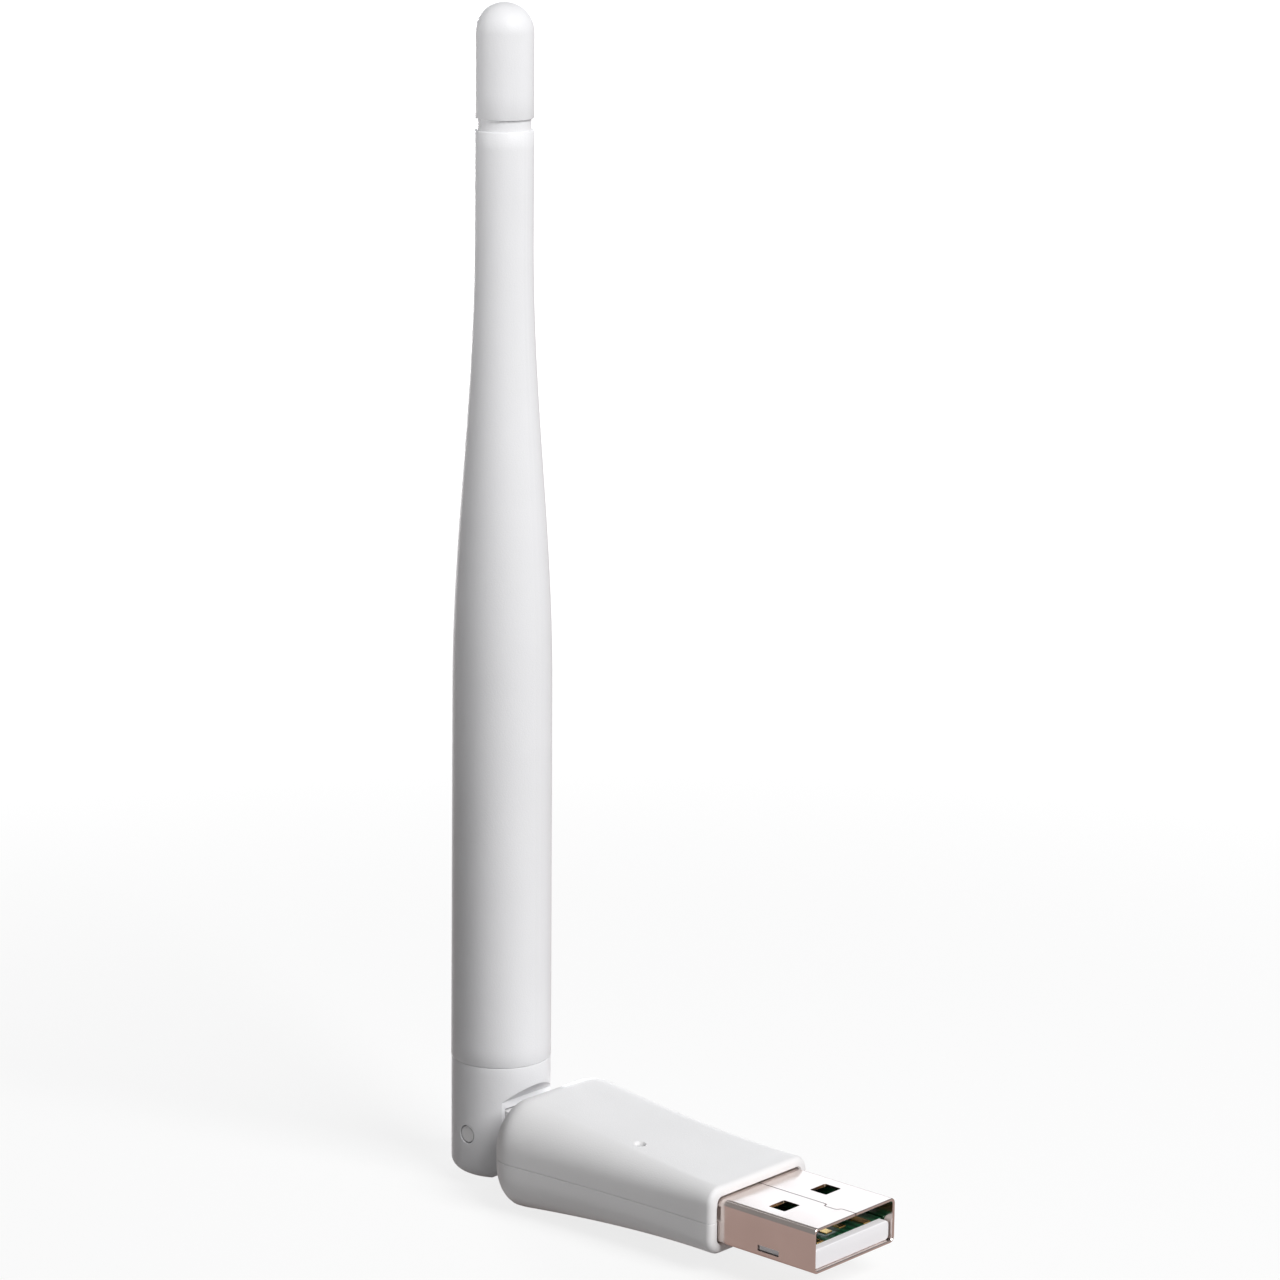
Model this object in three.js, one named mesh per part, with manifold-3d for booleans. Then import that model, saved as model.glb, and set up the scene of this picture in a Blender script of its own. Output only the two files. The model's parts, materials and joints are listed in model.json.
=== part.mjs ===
// USB wireless network adapter with a folding rod antenna.
//
// Millimetres, +Z up. X runs along the body and comes out of the plug's mouth, and Y is its width.
// The pieces are laid out with x = 0 at the mouth of the plug and z = 0 where the two covers meet,
// which is also the height of the swivel and of the hinge. The finished group is then moved so that
// its origin is the bottom centre of its box.

import * as THREE from 'three';
import { mergeVertices } from 'three/addons/utils/BufferGeometryUtils.js';
import Module from 'manifold-3d';

const wasm = await Module();
wasm.setup();

// ---------------------------------------------------------------- driving dimensions

// USB type A plug
const PLUG_WIDTH = 12;
const PLUG_HEIGHT = 4.5;
const PLUG_REACH = 11.75;
const PLUG_TAIL = 7;
const PLUG_SHEET = 0.3;
const PLUG_CORNER = 0.6;
const LATCH_HOLE_WIDTH = 2.3;
const LATCH_HOLE_LENGTH = 2;
const LATCH_HOLE_SETBACK = 6.16;
const LATCH_HOLE_PITCH = 6.1;
const WINDOW_LENGTH = 2.6;
const WINDOW_HEIGHT = 0.6;
const WINDOW_SETBACK = 5.6;
const WINDOW_RISE = 0.96;
const PLUG_FIT = 0.1;

// Board, its spacer in the plug, and the contacts
const BOARD_THICK = 0.8;
const BOARD_FIT = 0.15;
const BOARD_REAR_GAP = 0.6;
const SPACER_THICK = 1.15;
const SPACER_SHORT = 1.4;
const LIP_SETBACK = 0.35;
const LIP_DEPTH = 0.9;
const LIP_CORNER = 0.5;
const LIP_GAP = 0.05;
const LUG_FIT = 0.08;
const PAD_WIDTH = 1;
const PAD_THICK = 0.08;
const PAD_LENGTHS = [7.4, 6.4, 6.4, 7.4];
const PAD_PLACES = [-3.5, -1, 1, 3.5];
const PAD_REAR = 8.7;

// Housing of two covers
const HOUSING_LENGTH = 28.85;
const SHOULDER_SIDE = 1.2;
const SHOULDER_TOP = 1.15;
const SIDE_FLARE = 1.4;
const BEARING_WALL = 1.3;
const BEARING_CHEEK = 1.5;
const FRONT_EDGE = 1.6;
const REAR_EDGE = 4.2;
const MOUTH_ROUND = 0.6;
const REAR_PLAN_ROUND = 4;
const REAR_SIDE_ROUND = 3;
const WALL = 1;
const FRONT_WALL = 1.6;
const REAR_WALL = 1.4;
const KEY_NOTCH_HEIGHT = 1.5;
const KEY_NOTCH_DEPTH = 0.3;

// Posts that snap the covers together and hold the board down
const POST_RADIUS = 0.8;
const POST_FIT = 0.1;
const POST_SETBACK = 16.25;
const POST_OVERHANG = 0.25;
const POST_RISE = 1.6;
const BOSS_WALL = 0.5;
const PRESS_POST_RADIUS = 0.7;
const BOARD_NIP = 0.1;
const RIB_THICK = 1;

// Status light
const LIGHT_SETBACK = 12.25;
const LIGHT_OFFSET = -3.5;
const LIGHT_PIPE_RADIUS = 0.45;
const LIGHT_PIPE_FIT = 0.06;
const LIGHT_PIPE_RECESS = 0.22;
const LIGHT_FLANGE_RADIUS = 1.1;
const LIGHT_FLANGE_THICK = 0.5;

// Swivel in the rear wall and its hinge tongue
const STEM_RADIUS = 2.8;
const FLANGE_RISE = 0.8;
const FLANGE_THICK = 1.2;
const STOP_RISE = 0.4;
const STOP_WIDTH = 1;
const STOP_GAP = 0.05;
const RUN_GAP = 0.15;
const TONGUE_WIDTH = 5.9;
const TONGUE_RADIUS = 2.8;
const TRUNNION_RADIUS = 0.85;
const TRUNNION_FIT = 0.08;
const TRUNNION_SINK = 0.12;

// Antenna
const FORK_GAP = 0.12;
const PRONG_THICK = 1.9;
const FORK_DROP = 4.45;
const FORK_BOTTOM_ROUND = 1.2;
const FORK_SWING_GAP = 0.33;
const NOSE_SWING_GAP = 0.4;
const FLAT_SETBACK = 1.47;
const FORK_ROOF = 0.75;
const FORK_RELIEF_RISE = 1.5;
const FORK_NECK = 4.32;
const SPIGOT_LENGTH = 5;
const SPIGOT_FIT = 0.1;
const SLEEVE_PROUD = 0.06;
const SLEEVE_DRAFT = 0.11;
const SLEEVE_TIP_RADIUS = 2.88;
const STRAIGHT_LENGTH = 37.64;
const TAPER_LENGTH = 44.5;
const TIP_LENGTH = 10.5;
const SLEEVE_WALL = 1.1;
const CAP_RADIUS = 2.85;
const NECK_RADIUS = 2.6;
const NECK_HEIGHT = 1.1;
const CAP_LENGTH = 11;
const CAP_SPIGOT_LENGTH = 4;

// Aerial lead and dipole
const LEAD_RADIUS = 0.565;
const LEAD_BORE = 0.85;
const LEAD_GAP = 0.3;
const LEAD_BEND = 1.4;
const LEAD_START_SETBACK = 20;
const CHOKE_SEAT_GAP = 0.8;
const CHOKE_LENGTH = 24.5;
const CHOKE_RADIUS = 2.2;
const CHOKE_SHEET = 0.3;
const WIRE_RADIUS = 0.3;
const WIRE_END_GAP = 2;
const COIL_RADIUS = 1.5;
const COIL_SETBACK = 20;
const COIL_PITCH = 1.4;
const COIL_TURNS = 5;
const BUSH_SETBACK = 18;
const BUSH_LENGTH = 3;

// ---------------------------------------------------------------- derived places

const SLOT_HALF = TONGUE_WIDTH / 2 + FORK_GAP;
const SLOT_REACH = TONGUE_RADIUS + 2 * FORK_GAP;
const FORK_RADIUS = SLOT_HALF + PRONG_THICK;
const HINGE_REACH = FORK_RADIUS + FORK_SWING_GAP;
const FORK_NOSE_RADIUS = HINGE_REACH - NOSE_SWING_GAP;
const FORK_FLAT = FORK_RADIUS - FLAT_SETBACK;
const FORK_FLAT_TOP = SLOT_REACH + FORK_ROOF;
const FORK_TOP = SLOT_REACH + FORK_NECK;
const FLANGE_RADIUS = STEM_RADIUS + FLANGE_RISE;
const STOP_REACH = FLANGE_RADIUS + STOP_RISE + RUN_GAP;
const PLUG_TOTAL = PLUG_REACH + PLUG_TAIL;
const FRONT_WIDTH = PLUG_WIDTH + 2 * SHOULDER_SIDE;
const FRONT_HEIGHT = PLUG_HEIGHT + 2 * SHOULDER_TOP;
const REAR_WIDTH = FRONT_WIDTH + 2 * SIDE_FLARE;
const REAR_HEIGHT = 2 * (STOP_REACH + BEARING_WALL);
const X_FRONT = -PLUG_REACH;
const X_REAR = X_FRONT - HOUSING_LENGTH;
const X_PIN = X_REAR - HINGE_REACH;
const X_GROOVE = X_REAR + REAR_WALL;
const X_RIB = X_GROOVE + FLANGE_THICK + 2 * RUN_GAP;
const X_BLOCK_FRONT = X_RIB + RIB_THICK;
const X_BOARD_REAR = X_BLOCK_FRONT + BOARD_REAR_GAP;
const X_BOARD_FRONT = -LIP_SETBACK - LIP_DEPTH - LIP_GAP;
const X_POST = X_FRONT - POST_SETBACK;
const X_LIGHT = X_FRONT - LIGHT_SETBACK;
const Z_FLOOR = -PLUG_HEIGHT / 2 + PLUG_SHEET;
const Z_BOARD = Z_FLOOR + SPACER_THICK;
const Z_BOARD_TOP = Z_BOARD + BOARD_THICK;
const BOARD_WIDTH = PLUG_WIDTH - 2 * PLUG_SHEET - 2 * BOARD_FIT;
const POST_SPREAD = BOARD_WIDTH + 2 * POST_OVERHANG;
const SLEEVE_FOOT_RADIUS = FORK_RADIUS + SLEEVE_PROUD;
const SLEEVE_SHOULDER_RADIUS = SLEEVE_FOOT_RADIUS - SLEEVE_DRAFT;
const TAPER_START = FORK_TOP + STRAIGHT_LENGTH;
const TAPER_END = TAPER_START + TAPER_LENGTH;
const SLEEVE_TOP = TAPER_END + TIP_LENGTH;
const ANTENNA_TOP = SLEEVE_TOP + NECK_HEIGHT + CAP_LENGTH;
const CHOKE_START = FORK_TOP + SPIGOT_LENGTH + CHOKE_SEAT_GAP;
const CHOKE_END = CHOKE_START + CHOKE_LENGTH;
const COIL_START = CHOKE_END + COIL_SETBACK;
const WIRE_END = SLEEVE_TOP - CAP_SPIGOT_LENGTH - WIRE_END_GAP;
const BUSH_PLACE = WIRE_END - BUSH_SETBACK;
const SLEEVE_BORE = SLEEVE_SHOULDER_RADIUS - SLEEVE_WALL;
const TIP_BORE = SLEEVE_TIP_RADIUS - SLEEVE_WALL;
const ROUND_SIDES = 32;
const SMALL_SIDES = 16;
const FAR = 20;

// ---------------------------------------------------------------- finishes

function finish(colour, roughness, metalness) {
  return new THREE.MeshStandardMaterial({ color: colour, roughness, metalness });
}

const FINISH = {
  shellPlastic: finish(0xe9ebed, 0.55, 0),
  antennaPlastic: finish(0xe6e8ea, 0.6, 0),
  clearPlastic: finish(0xdfe6ea, 0.2, 0),
  spacerPlastic: finish(0xf4f4f2, 0.4, 0),
  nickel: finish(0xb9aca6, 0.22, 1),
  board: finish(0x1f5b3a, 0.45, 0),
  gold: finish(0xd9a941, 0.25, 1),
  blackResin: finish(0x1c1c1e, 0.6, 0),
  ceramic: finish(0xb79f7d, 0.5, 0),
  steel: finish(0xc2c4c6, 0.3, 1),
  brass: finish(0xb98f45, 0.3, 1),
  lead: finish(0x8d8f92, 0.5, 0),
};

// ---------------------------------------------------------------- shapes as solids

function solid(geometry) {
  const bare = geometry.clone();
  bare.deleteAttribute('normal');
  bare.deleteAttribute('uv');
  const welded = mergeVertices(bare, 1e-5);
  return new wasm.Manifold(new wasm.Mesh({
    numProp: 3,
    vertProperties: new Float32Array(welded.attributes.position.array),
    triVerts: new Uint32Array(welded.index.array),
  }));
}

function geometryOf(body) {
  const { vertProperties, triVerts } = body.getMesh();
  const geometry = new THREE.BufferGeometry();
  geometry.setAttribute('position', new THREE.BufferAttribute(vertProperties, 3));
  geometry.setIndex(new THREE.BufferAttribute(triVerts, 1));
  geometry.computeVertexNormals();
  return geometry;
}

const join = (first, ...others) => others.reduce((whole, other) => whole.add(other), first);
const cut = (first, ...others) => others.reduce((whole, other) => whole.subtract(other), first);

function box([x0, x1], [y0, y1], [z0, z1]) {
  const geometry = new THREE.BoxGeometry(x1 - x0, y1 - y0, z1 - z0);
  return solid(geometry.translate((x0 + x1) / 2, (y0 + y1) / 2, (z0 + z1) / 2));
}

// A round bar along X, Y or Z from one place to another; at gives the bar's place on the other axes.
function bar(axis, radius, [start, end], at = {}, sides = ROUND_SIDES) {
  const geometry = new THREE.CylinderGeometry(radius, radius, end - start, sides);
  if (axis === 'x') geometry.rotateZ(-Math.PI / 2);
  if (axis === 'z') geometry.rotateX(Math.PI / 2);
  const place = { x: 0, y: 0, z: 0, ...at, [axis]: (start + end) / 2 };
  return solid(geometry.translate(place.x, place.y, place.z));
}

// Turns a profile of [radius, height] points about Z.
function turned(profile, sides = ROUND_SIDES) {
  const points = profile.map(([radius, height]) => new THREE.Vector2(radius, height));
  return solid(new THREE.LatheGeometry(points, sides).rotateX(Math.PI / 2));
}

// Extrudes a flat outline drawn in Y and Z along X.
function extrudedAlongX(shape, [start, end], curveSegments = 6) {
  const geometry = new THREE.ExtrudeGeometry(shape, { depth: end - start, bevelEnabled: false, curveSegments });
  const axes = new THREE.Matrix4().makeBasis(
    new THREE.Vector3(0, 1, 0),
    new THREE.Vector3(0, 0, 1),
    new THREE.Vector3(1, 0, 0),
  );
  return solid(geometry.applyMatrix4(axes).translate(start, 0, 0));
}

// Extrudes a flat outline drawn in X and Z along Y, the same distance to either side.
function extrudedAlongY(shape, half, curveSegments = 12) {
  const geometry = new THREE.ExtrudeGeometry(shape, { depth: 2 * half, bevelEnabled: false, curveSegments });
  return solid(geometry.rotateX(Math.PI / 2).translate(0, half, 0));
}

function roundedRectangle(width, height, radius, middle = 0) {
  const right = width / 2;
  const top = middle + height / 2;
  const bottom = middle - height / 2;
  const shape = new THREE.Shape();
  shape.moveTo(-right + radius, bottom);
  shape.lineTo(right - radius, bottom);
  shape.absarc(right - radius, bottom + radius, radius, -Math.PI / 2, 0);
  shape.lineTo(right, top - radius);
  shape.absarc(right - radius, top - radius, radius, 0, Math.PI / 2);
  shape.lineTo(-right + radius, top);
  shape.absarc(-right + radius, top - radius, radius, Math.PI / 2, Math.PI);
  shape.lineTo(-right, bottom + radius);
  shape.absarc(-right + radius, bottom + radius, radius, Math.PI, 1.5 * Math.PI);
  return shape;
}

// A round wire that follows a path. An arc is split into twice as many sides as its curve segments.
function wire(radius, path, steps, sides = 8) {
  const section = new THREE.Shape();
  section.absarc(0, 0, radius, 0, 2 * Math.PI);
  return solid(new THREE.ExtrudeGeometry(section, {
    steps,
    extrudePath: path,
    curveSegments: sides / 2,
    bevelEnabled: false,
  }));
}

function named(name, body, material) {
  const mesh = new THREE.Mesh(geometryOf(body), material);
  mesh.name = name;
  return mesh;
}

// ---------------------------------------------------------------- housing form

// The housing flares from the plug to the antenna. Its ends are rounded off by arcs.
const FLARE_LENGTH = HOUSING_LENGTH - REAR_SIDE_ROUND;

function flare(x, front, rear, power) {
  const along = Math.min((X_FRONT - x) / FLARE_LENGTH, 1);
  return front + (rear - front) * along ** power;
}

function arcInset(distance, radius) {
  const rest = Math.max(radius - distance, 0);
  return radius - Math.sqrt(radius * radius - rest * rest);
}

function housingSize(x) {
  const toFront = X_FRONT - x;
  const toRear = x - X_REAR;
  const frontInset = arcInset(toFront, MOUTH_ROUND);
  return {
    width: flare(x, FRONT_WIDTH, REAR_WIDTH, 2) / 2 - frontInset - arcInset(toRear, REAR_PLAN_ROUND),
    height: flare(x, FRONT_HEIGHT, REAR_HEIGHT, 1.5) / 2 - frontInset - arcInset(toRear, REAR_SIDE_ROUND),
    edge: flare(x, FRONT_EDGE, REAR_EDGE, 1) - arcInset(toRear, REAR_SIDE_ROUND),
  };
}

// One closed ring of the housing's section at x, drawn in by inset on every side.
function housingRing(x, inset, arcSteps = 5) {
  const { width, height, edge } = housingSize(x);
  const radius = Math.max(edge - inset, 0.3);
  const centreY = width - inset - radius;
  const centreZ = height - inset - radius;
  const ring = [];
  for (let corner = 0; corner < 4; corner += 1) {
    const sideY = corner === 0 || corner === 3 ? 1 : -1;
    const sideZ = corner < 2 ? 1 : -1;
    for (let step = 0; step <= arcSteps; step += 1) {
      const angle = (corner + step / arcSteps) * Math.PI / 2;
      const y = sideY * centreY + radius * Math.cos(angle);
      const z = sideZ * centreZ + radius * Math.sin(angle);
      ring.push(new THREE.Vector3(x, y, z));
    }
  }
  return ring;
}

// Joins rings, given in order of growing x, into one closed body.
function loft(rings) {
  const count = rings[0].length;
  const position = rings.flat().flatMap((point) => point.toArray());
  const index = [];
  for (let layer = 0; layer < rings.length - 1; layer += 1) {
    for (let corner = 0; corner < count; corner += 1) {
      const a = layer * count + corner;
      const b = layer * count + (corner + 1) % count;
      index.push(a, b, a + count, b, b + count, a + count);
    }
  }
  const last = (rings.length - 1) * count;
  for (let corner = 1; corner < count - 1; corner += 1) {
    index.push(0, corner + 1, corner);
    index.push(last, last + corner, last + corner + 1);
  }
  const geometry = new THREE.BufferGeometry();
  geometry.setAttribute('position', new THREE.Float32BufferAttribute(position, 3));
  geometry.setIndex(index);
  return solid(geometry);
}

// Places along the housing, closer together where its ends turn round.
function housingPlaces(frontSteps = 3, middleSteps = 9, rearSteps = 7) {
  const places = [];
  for (let step = 0; step < rearSteps; step += 1) {
    places.push(X_REAR + REAR_PLAN_ROUND * (1 - Math.cos(step / rearSteps * Math.PI / 2)));
  }
  const from = X_REAR + REAR_PLAN_ROUND;
  const to = X_FRONT - MOUTH_ROUND;
  for (let step = 0; step <= middleSteps; step += 1) {
    places.push(from + (to - from) * step / middleSteps);
  }
  for (let step = 1; step <= frontSteps; step += 1) {
    places.push(to + MOUTH_ROUND * Math.sin(step / frontSteps * Math.PI / 2));
  }
  return places;
}

function housingBlock(inset) {
  const start = X_REAR + (inset > 0 ? REAR_WALL : 0);
  const end = X_FRONT - (inset > 0 ? FRONT_WALL : 0);
  const between = housingPlaces().filter((x) => x > start + 0.2 && x < end - 0.2);
  return loft([start, ...between, end].map((x) => housingRing(x, inset)));
}

// ---------------------------------------------------------------- covers

// Both covers with everything that is moulded in them except the posts, still in one piece.
function coverBlank() {
  const outside = housingBlock(0);
  const cheek = STOP_REACH + BEARING_CHEEK;
  const bearing = box([X_REAR, X_BLOCK_FRONT], [-cheek, cheek], [-REAR_HEIGHT, REAR_HEIGHT]);
  const walls = cut(outside, housingBlock(WALL));
  const opening = extrudedAlongX(
    roundedRectangle(PLUG_WIDTH + 2 * PLUG_FIT, PLUG_HEIGHT + 2 * PLUG_FIT, PLUG_CORNER),
    [X_FRONT - 2 * FRONT_WALL, X_FRONT + FAR],
  );
  const notchHalf = PLUG_WIDTH / 2 + PLUG_FIT + KEY_NOTCH_DEPTH;
  const notch = box([X_FRONT - 2 * FRONT_WALL, X_FRONT + FAR], [-notchHalf, notchHalf], [0, KEY_NOTCH_HEIGHT]);
  return cut(
    join(walls, bearing.intersect(outside)),
    opening,
    notch,
    bar('x', STEM_RADIUS + RUN_GAP, [X_REAR - FAR, X_RIB]),
    bar('x', LEAD_BORE, [X_RIB - RIB_THICK, X_BLOCK_FRONT + RIB_THICK], {}, SMALL_SIDES),
  );
}

function topCover() {
  const upper = box([X_REAR - FAR, X_FRONT + FAR], [-FAR, FAR], [0, FAR]);
  const groove = bar('x', FLANGE_RADIUS + RUN_GAP, [X_GROOVE, X_RIB]);
  const stopSeat = box([X_GROOVE, X_RIB], [-STOP_REACH, STOP_REACH], [-1, STOP_WIDTH / 2 + STOP_GAP]);
  const pressed = Z_BOARD_TOP + BOARD_NIP;
  const sockets = [];
  const bores = [];
  const pressPosts = [];
  for (const side of [-1, 1]) {
    const y = side * POST_SPREAD / 2;
    const socketRadius = POST_RADIUS + POST_FIT + BOSS_WALL;
    sockets.push(bar('z', socketRadius, [pressed, REAR_HEIGHT / 2], { x: X_POST, y }, SMALL_SIDES));
    bores.push(bar('z', POST_RADIUS + POST_FIT, [-1, POST_RISE + 2 * POST_FIT], { x: X_POST, y }, SMALL_SIDES));
    for (const x of [X_BOARD_REAR + 2 * PRESS_POST_RADIUS, -PLUG_TOTAL - 2 * PRESS_POST_RADIUS]) {
      const place = { x, y: side * (BOARD_WIDTH / 2 - PRESS_POST_RADIUS) };
      pressPosts.push(bar('z', PRESS_POST_RADIUS, [pressed, REAR_HEIGHT / 2], place, SMALL_SIDES));
    }
  }
  const inside = join(...sockets, ...pressPosts).intersect(housingBlock(WALL / 2));
  const lightHole = bar(
    'z', LIGHT_PIPE_RADIUS + LIGHT_PIPE_FIT, [1, FAR], { x: X_LIGHT, y: LIGHT_OFFSET }, SMALL_SIDES,
  );
  const whole = cut(join(coverBlank(), inside), groove, stopSeat, lightHole, ...bores).intersect(upper);
  return named('top_cover', whole, FINISH.shellPlastic);
}

function bottomCover() {
  const lower = box([X_REAR - FAR, X_FRONT + FAR], [-FAR, FAR], [-FAR, 0]);
  const groove = bar('x', STOP_REACH, [X_GROOVE, X_RIB]);
  const supports = [];
  const posts = [];
  for (const side of [-1, 1]) {
    const place = { x: X_POST, y: side * POST_SPREAD / 2 };
    supports.push(bar('z', POST_RADIUS + BOSS_WALL, [-REAR_HEIGHT / 2, Z_BOARD], place, SMALL_SIDES));
    posts.push(bar('z', POST_RADIUS, [Z_BOARD - 1, POST_RISE], place, SMALL_SIDES));
  }
  const ribEnds = [-BOARD_WIDTH / 2, BOARD_WIDTH / 2];
  for (const x of [-PLUG_TOTAL - 2 * PLUG_FIT - RIB_THICK, X_BOARD_REAR + RIB_THICK]) {
    supports.push(box([x, x + RIB_THICK], ribEnds, [-REAR_HEIGHT / 2, Z_BOARD]));
  }
  const inside = join(...supports).intersect(housingBlock(WALL / 2));
  const shell = cut(coverBlank(), groove).intersect(lower);
  return named('bottom_cover', join(shell, inside, ...posts), FINISH.shellPlastic);
}

// ---------------------------------------------------------------- plug and board

function plugShell() {
  const outline = roundedRectangle(PLUG_WIDTH, PLUG_HEIGHT, PLUG_CORNER);
  const innerCorner = PLUG_CORNER - PLUG_SHEET;
  outline.holes.push(roundedRectangle(PLUG_WIDTH - 2 * PLUG_SHEET, PLUG_HEIGHT - 2 * PLUG_SHEET, innerCorner));
  const tube = extrudedAlongX(outline, [-PLUG_TOTAL, 0]);
  const holes = [];
  for (const side of [-1, 1]) {
    const y = side * LATCH_HOLE_PITCH / 2;
    holes.push(box(
      [-LATCH_HOLE_SETBACK - LATCH_HOLE_LENGTH / 2, -LATCH_HOLE_SETBACK + LATCH_HOLE_LENGTH / 2],
      [y - LATCH_HOLE_WIDTH / 2, y + LATCH_HOLE_WIDTH / 2],
      [-PLUG_HEIGHT, PLUG_HEIGHT],
    ));
  }
  holes.push(windowBlock(0, PLUG_WIDTH));
  return named('plug_shell', cut(tube, ...holes), FINISH.nickel);
}

// The block that cuts the shell's side windows; drawn in by fit, it makes the spacer's lugs.
function windowBlock(fit, width) {
  const middle = -PLUG_HEIGHT / 2 + WINDOW_RISE;
  return box(
    [-WINDOW_SETBACK - WINDOW_LENGTH / 2 + fit, -WINDOW_SETBACK + WINDOW_LENGTH / 2 - fit],
    [-width, width],
    [middle - WINDOW_HEIGHT / 2 + fit, middle + WINDOW_HEIGHT / 2 - fit],
  );
}

function plugSpacer() {
  const bed = extrudedAlongX(
    roundedRectangle(BOARD_WIDTH, SPACER_THICK, PLUG_CORNER - PLUG_SHEET, Z_FLOOR + SPACER_THICK / 2),
    [-PLUG_TOTAL + SPACER_SHORT, -LIP_SETBACK - LIP_DEPTH / 2],
  );
  const lipHeight = Z_BOARD_TOP - Z_FLOOR;
  const lipMiddle = (Z_BOARD_TOP + Z_FLOOR) / 2;
  const lip = extrudedAlongX(
    roundedRectangle(BOARD_WIDTH, lipHeight, LIP_CORNER, lipMiddle),
    [-LIP_SETBACK - LIP_DEPTH, -LIP_SETBACK],
  );
  const lugs = windowBlock(LUG_FIT, PLUG_WIDTH / 2 - LUG_FIT);
  return named('plug_spacer', join(bed, lip, lugs), FINISH.spacerPlastic);
}

function circuitBoard() {
  const half = BOARD_WIDTH / 2;
  const sheet = box([X_BOARD_REAR, X_BOARD_FRONT], [-half, half], [Z_BOARD, Z_BOARD_TOP]);
  const notches = [-1, 1].map((side) => {
    const place = { x: X_POST, y: side * POST_SPREAD / 2 };
    return bar('z', POST_RADIUS + 3 * POST_FIT, [Z_BOARD - 1, Z_BOARD_TOP + 1], place, SMALL_SIDES);
  });
  return named('circuit_board', cut(sheet, ...notches), FINISH.board);
}

function contactPads() {
  return PAD_PLACES.map((y, number) => {
    const pad = box(
      [-PAD_REAR, -PAD_REAR + PAD_LENGTHS[number]],
      [y - PAD_WIDTH / 2, y + PAD_WIDTH / 2],
      [Z_BOARD_TOP, Z_BOARD_TOP + PAD_THICK],
    );
    return named(`contact_pad_${number + 1}`, pad, FINISH.gold);
  });
}

// A moulded or ceramic part soldered on the board: its place behind the housing's front, and its size.
function boardPart(name, [setback, across], [length, width, height], material) {
  const x = X_FRONT - setback;
  const bevel = Math.min(0.12, height / 5);
  const shape = roundedRectangle(width, height, bevel, Z_BOARD_TOP + height / 2);
  const body = extrudedAlongX(shape, [x - length / 2, x + length / 2], 1);
  const mesh = named(name, body, material);
  mesh.position.y = across;
  return mesh;
}

function boardParts() {
  const parts = [
    boardPart('wifi_chip', [14.5, 1.2], [5, 5, 0.85], FINISH.blackResin),
    boardPart('crystal_can', [19.4, 2.6], [3.2, 2.5, 0.75], FINISH.steel),
    boardPart('voltage_regulator', [9.4, 2.6], [1.6, 2.9, 1.1], FINISH.blackResin),
    boardPart('power_inductor', [9.6, -0.9], [2.5, 2, 1.1], FINISH.blackResin),
    boardPart('status_led', [LIGHT_SETBACK, LIGHT_OFFSET], [1.6, 0.8, 0.5], FINISH.clearPlastic),
  ];
  const capacitors = [[9.6, -3.6], [15.2, -3.3], [18.4, -2], [18.1, -0.5], [21.6, -2.6], [12.2, 4.3]];
  capacitors.forEach((place, number) => {
    parts.push(boardPart(`capacitor_${number + 1}`, place, [1.6, 0.8, 0.7], FINISH.ceramic));
  });
  const resistors = [[14.2, -2.6], [17.4, -3.8], [21.6, 0.9], [22.4, 3.6]];
  resistors.forEach((place, number) => {
    parts.push(boardPart(`resistor_${number + 1}`, place, [1.0, 0.5, 0.4], FINISH.blackResin));
  });
  return parts;
}

function lightPipe() {
  const roof = housingSize(X_LIGHT).height;
  const ceiling = roof - WALL;
  const place = { x: X_LIGHT, y: LIGHT_OFFSET };
  const bottom = Z_BOARD_TOP + 0.8;
  const flangeTop = ceiling - RUN_GAP;
  const pipe = join(
    bar('z', LIGHT_PIPE_RADIUS, [bottom, roof - LIGHT_PIPE_RECESS], place, SMALL_SIDES),
    bar('z', LIGHT_FLANGE_RADIUS, [flangeTop - LIGHT_FLANGE_THICK, flangeTop], place, SMALL_SIDES),
  );
  return named('led_light_pipe', pipe, FINISH.clearPlastic);
}

// ---------------------------------------------------------------- swivel

// Modelled about the hinge axis, so x = 0 and z = 0 are the axis of the trunnions.
function swivelStem() {
  const flangeStart = X_GROOVE + RUN_GAP - X_PIN;
  const flangeEnd = flangeStart + FLANGE_THICK;
  const flange = bar('x', FLANGE_RADIUS, [flangeStart, flangeEnd]);
  const stopFoot = -FLANGE_RADIUS - STOP_RISE;
  const stop = box([flangeStart, flangeEnd], [-STOP_WIDTH / 2, STOP_WIDTH / 2], [stopFoot, -STEM_RADIUS]);
  const stem = bar('x', STEM_RADIUS, [HINGE_REACH - RUN_GAP, flangeEnd]);
  const tongue = join(
    box([0, HINGE_REACH], [-TONGUE_WIDTH / 2, TONGUE_WIDTH / 2], [-TONGUE_RADIUS, TONGUE_RADIUS]),
    bar('y', TONGUE_RADIUS, [-TONGUE_WIDTH / 2, TONGUE_WIDTH / 2]),
  );
  const trunnionEnd = FORK_RADIUS - TRUNNION_SINK;
  const trunnions = bar('y', TRUNNION_RADIUS, [-trunnionEnd, trunnionEnd]);
  const bore = bar('x', LEAD_BORE, [-FAR, FAR], {}, SMALL_SIDES);
  const slot = box([-FAR, LEAD_BEND + LEAD_BORE], [-LEAD_BORE, LEAD_BORE], [-LEAD_BORE, FAR]);
  const body = cut(join(flange, stop, stem, tongue, trunnions), bore, slot);
  return named('swivel_stem', body, FINISH.shellPlastic);
}

// ---------------------------------------------------------------- aerial lead

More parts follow.
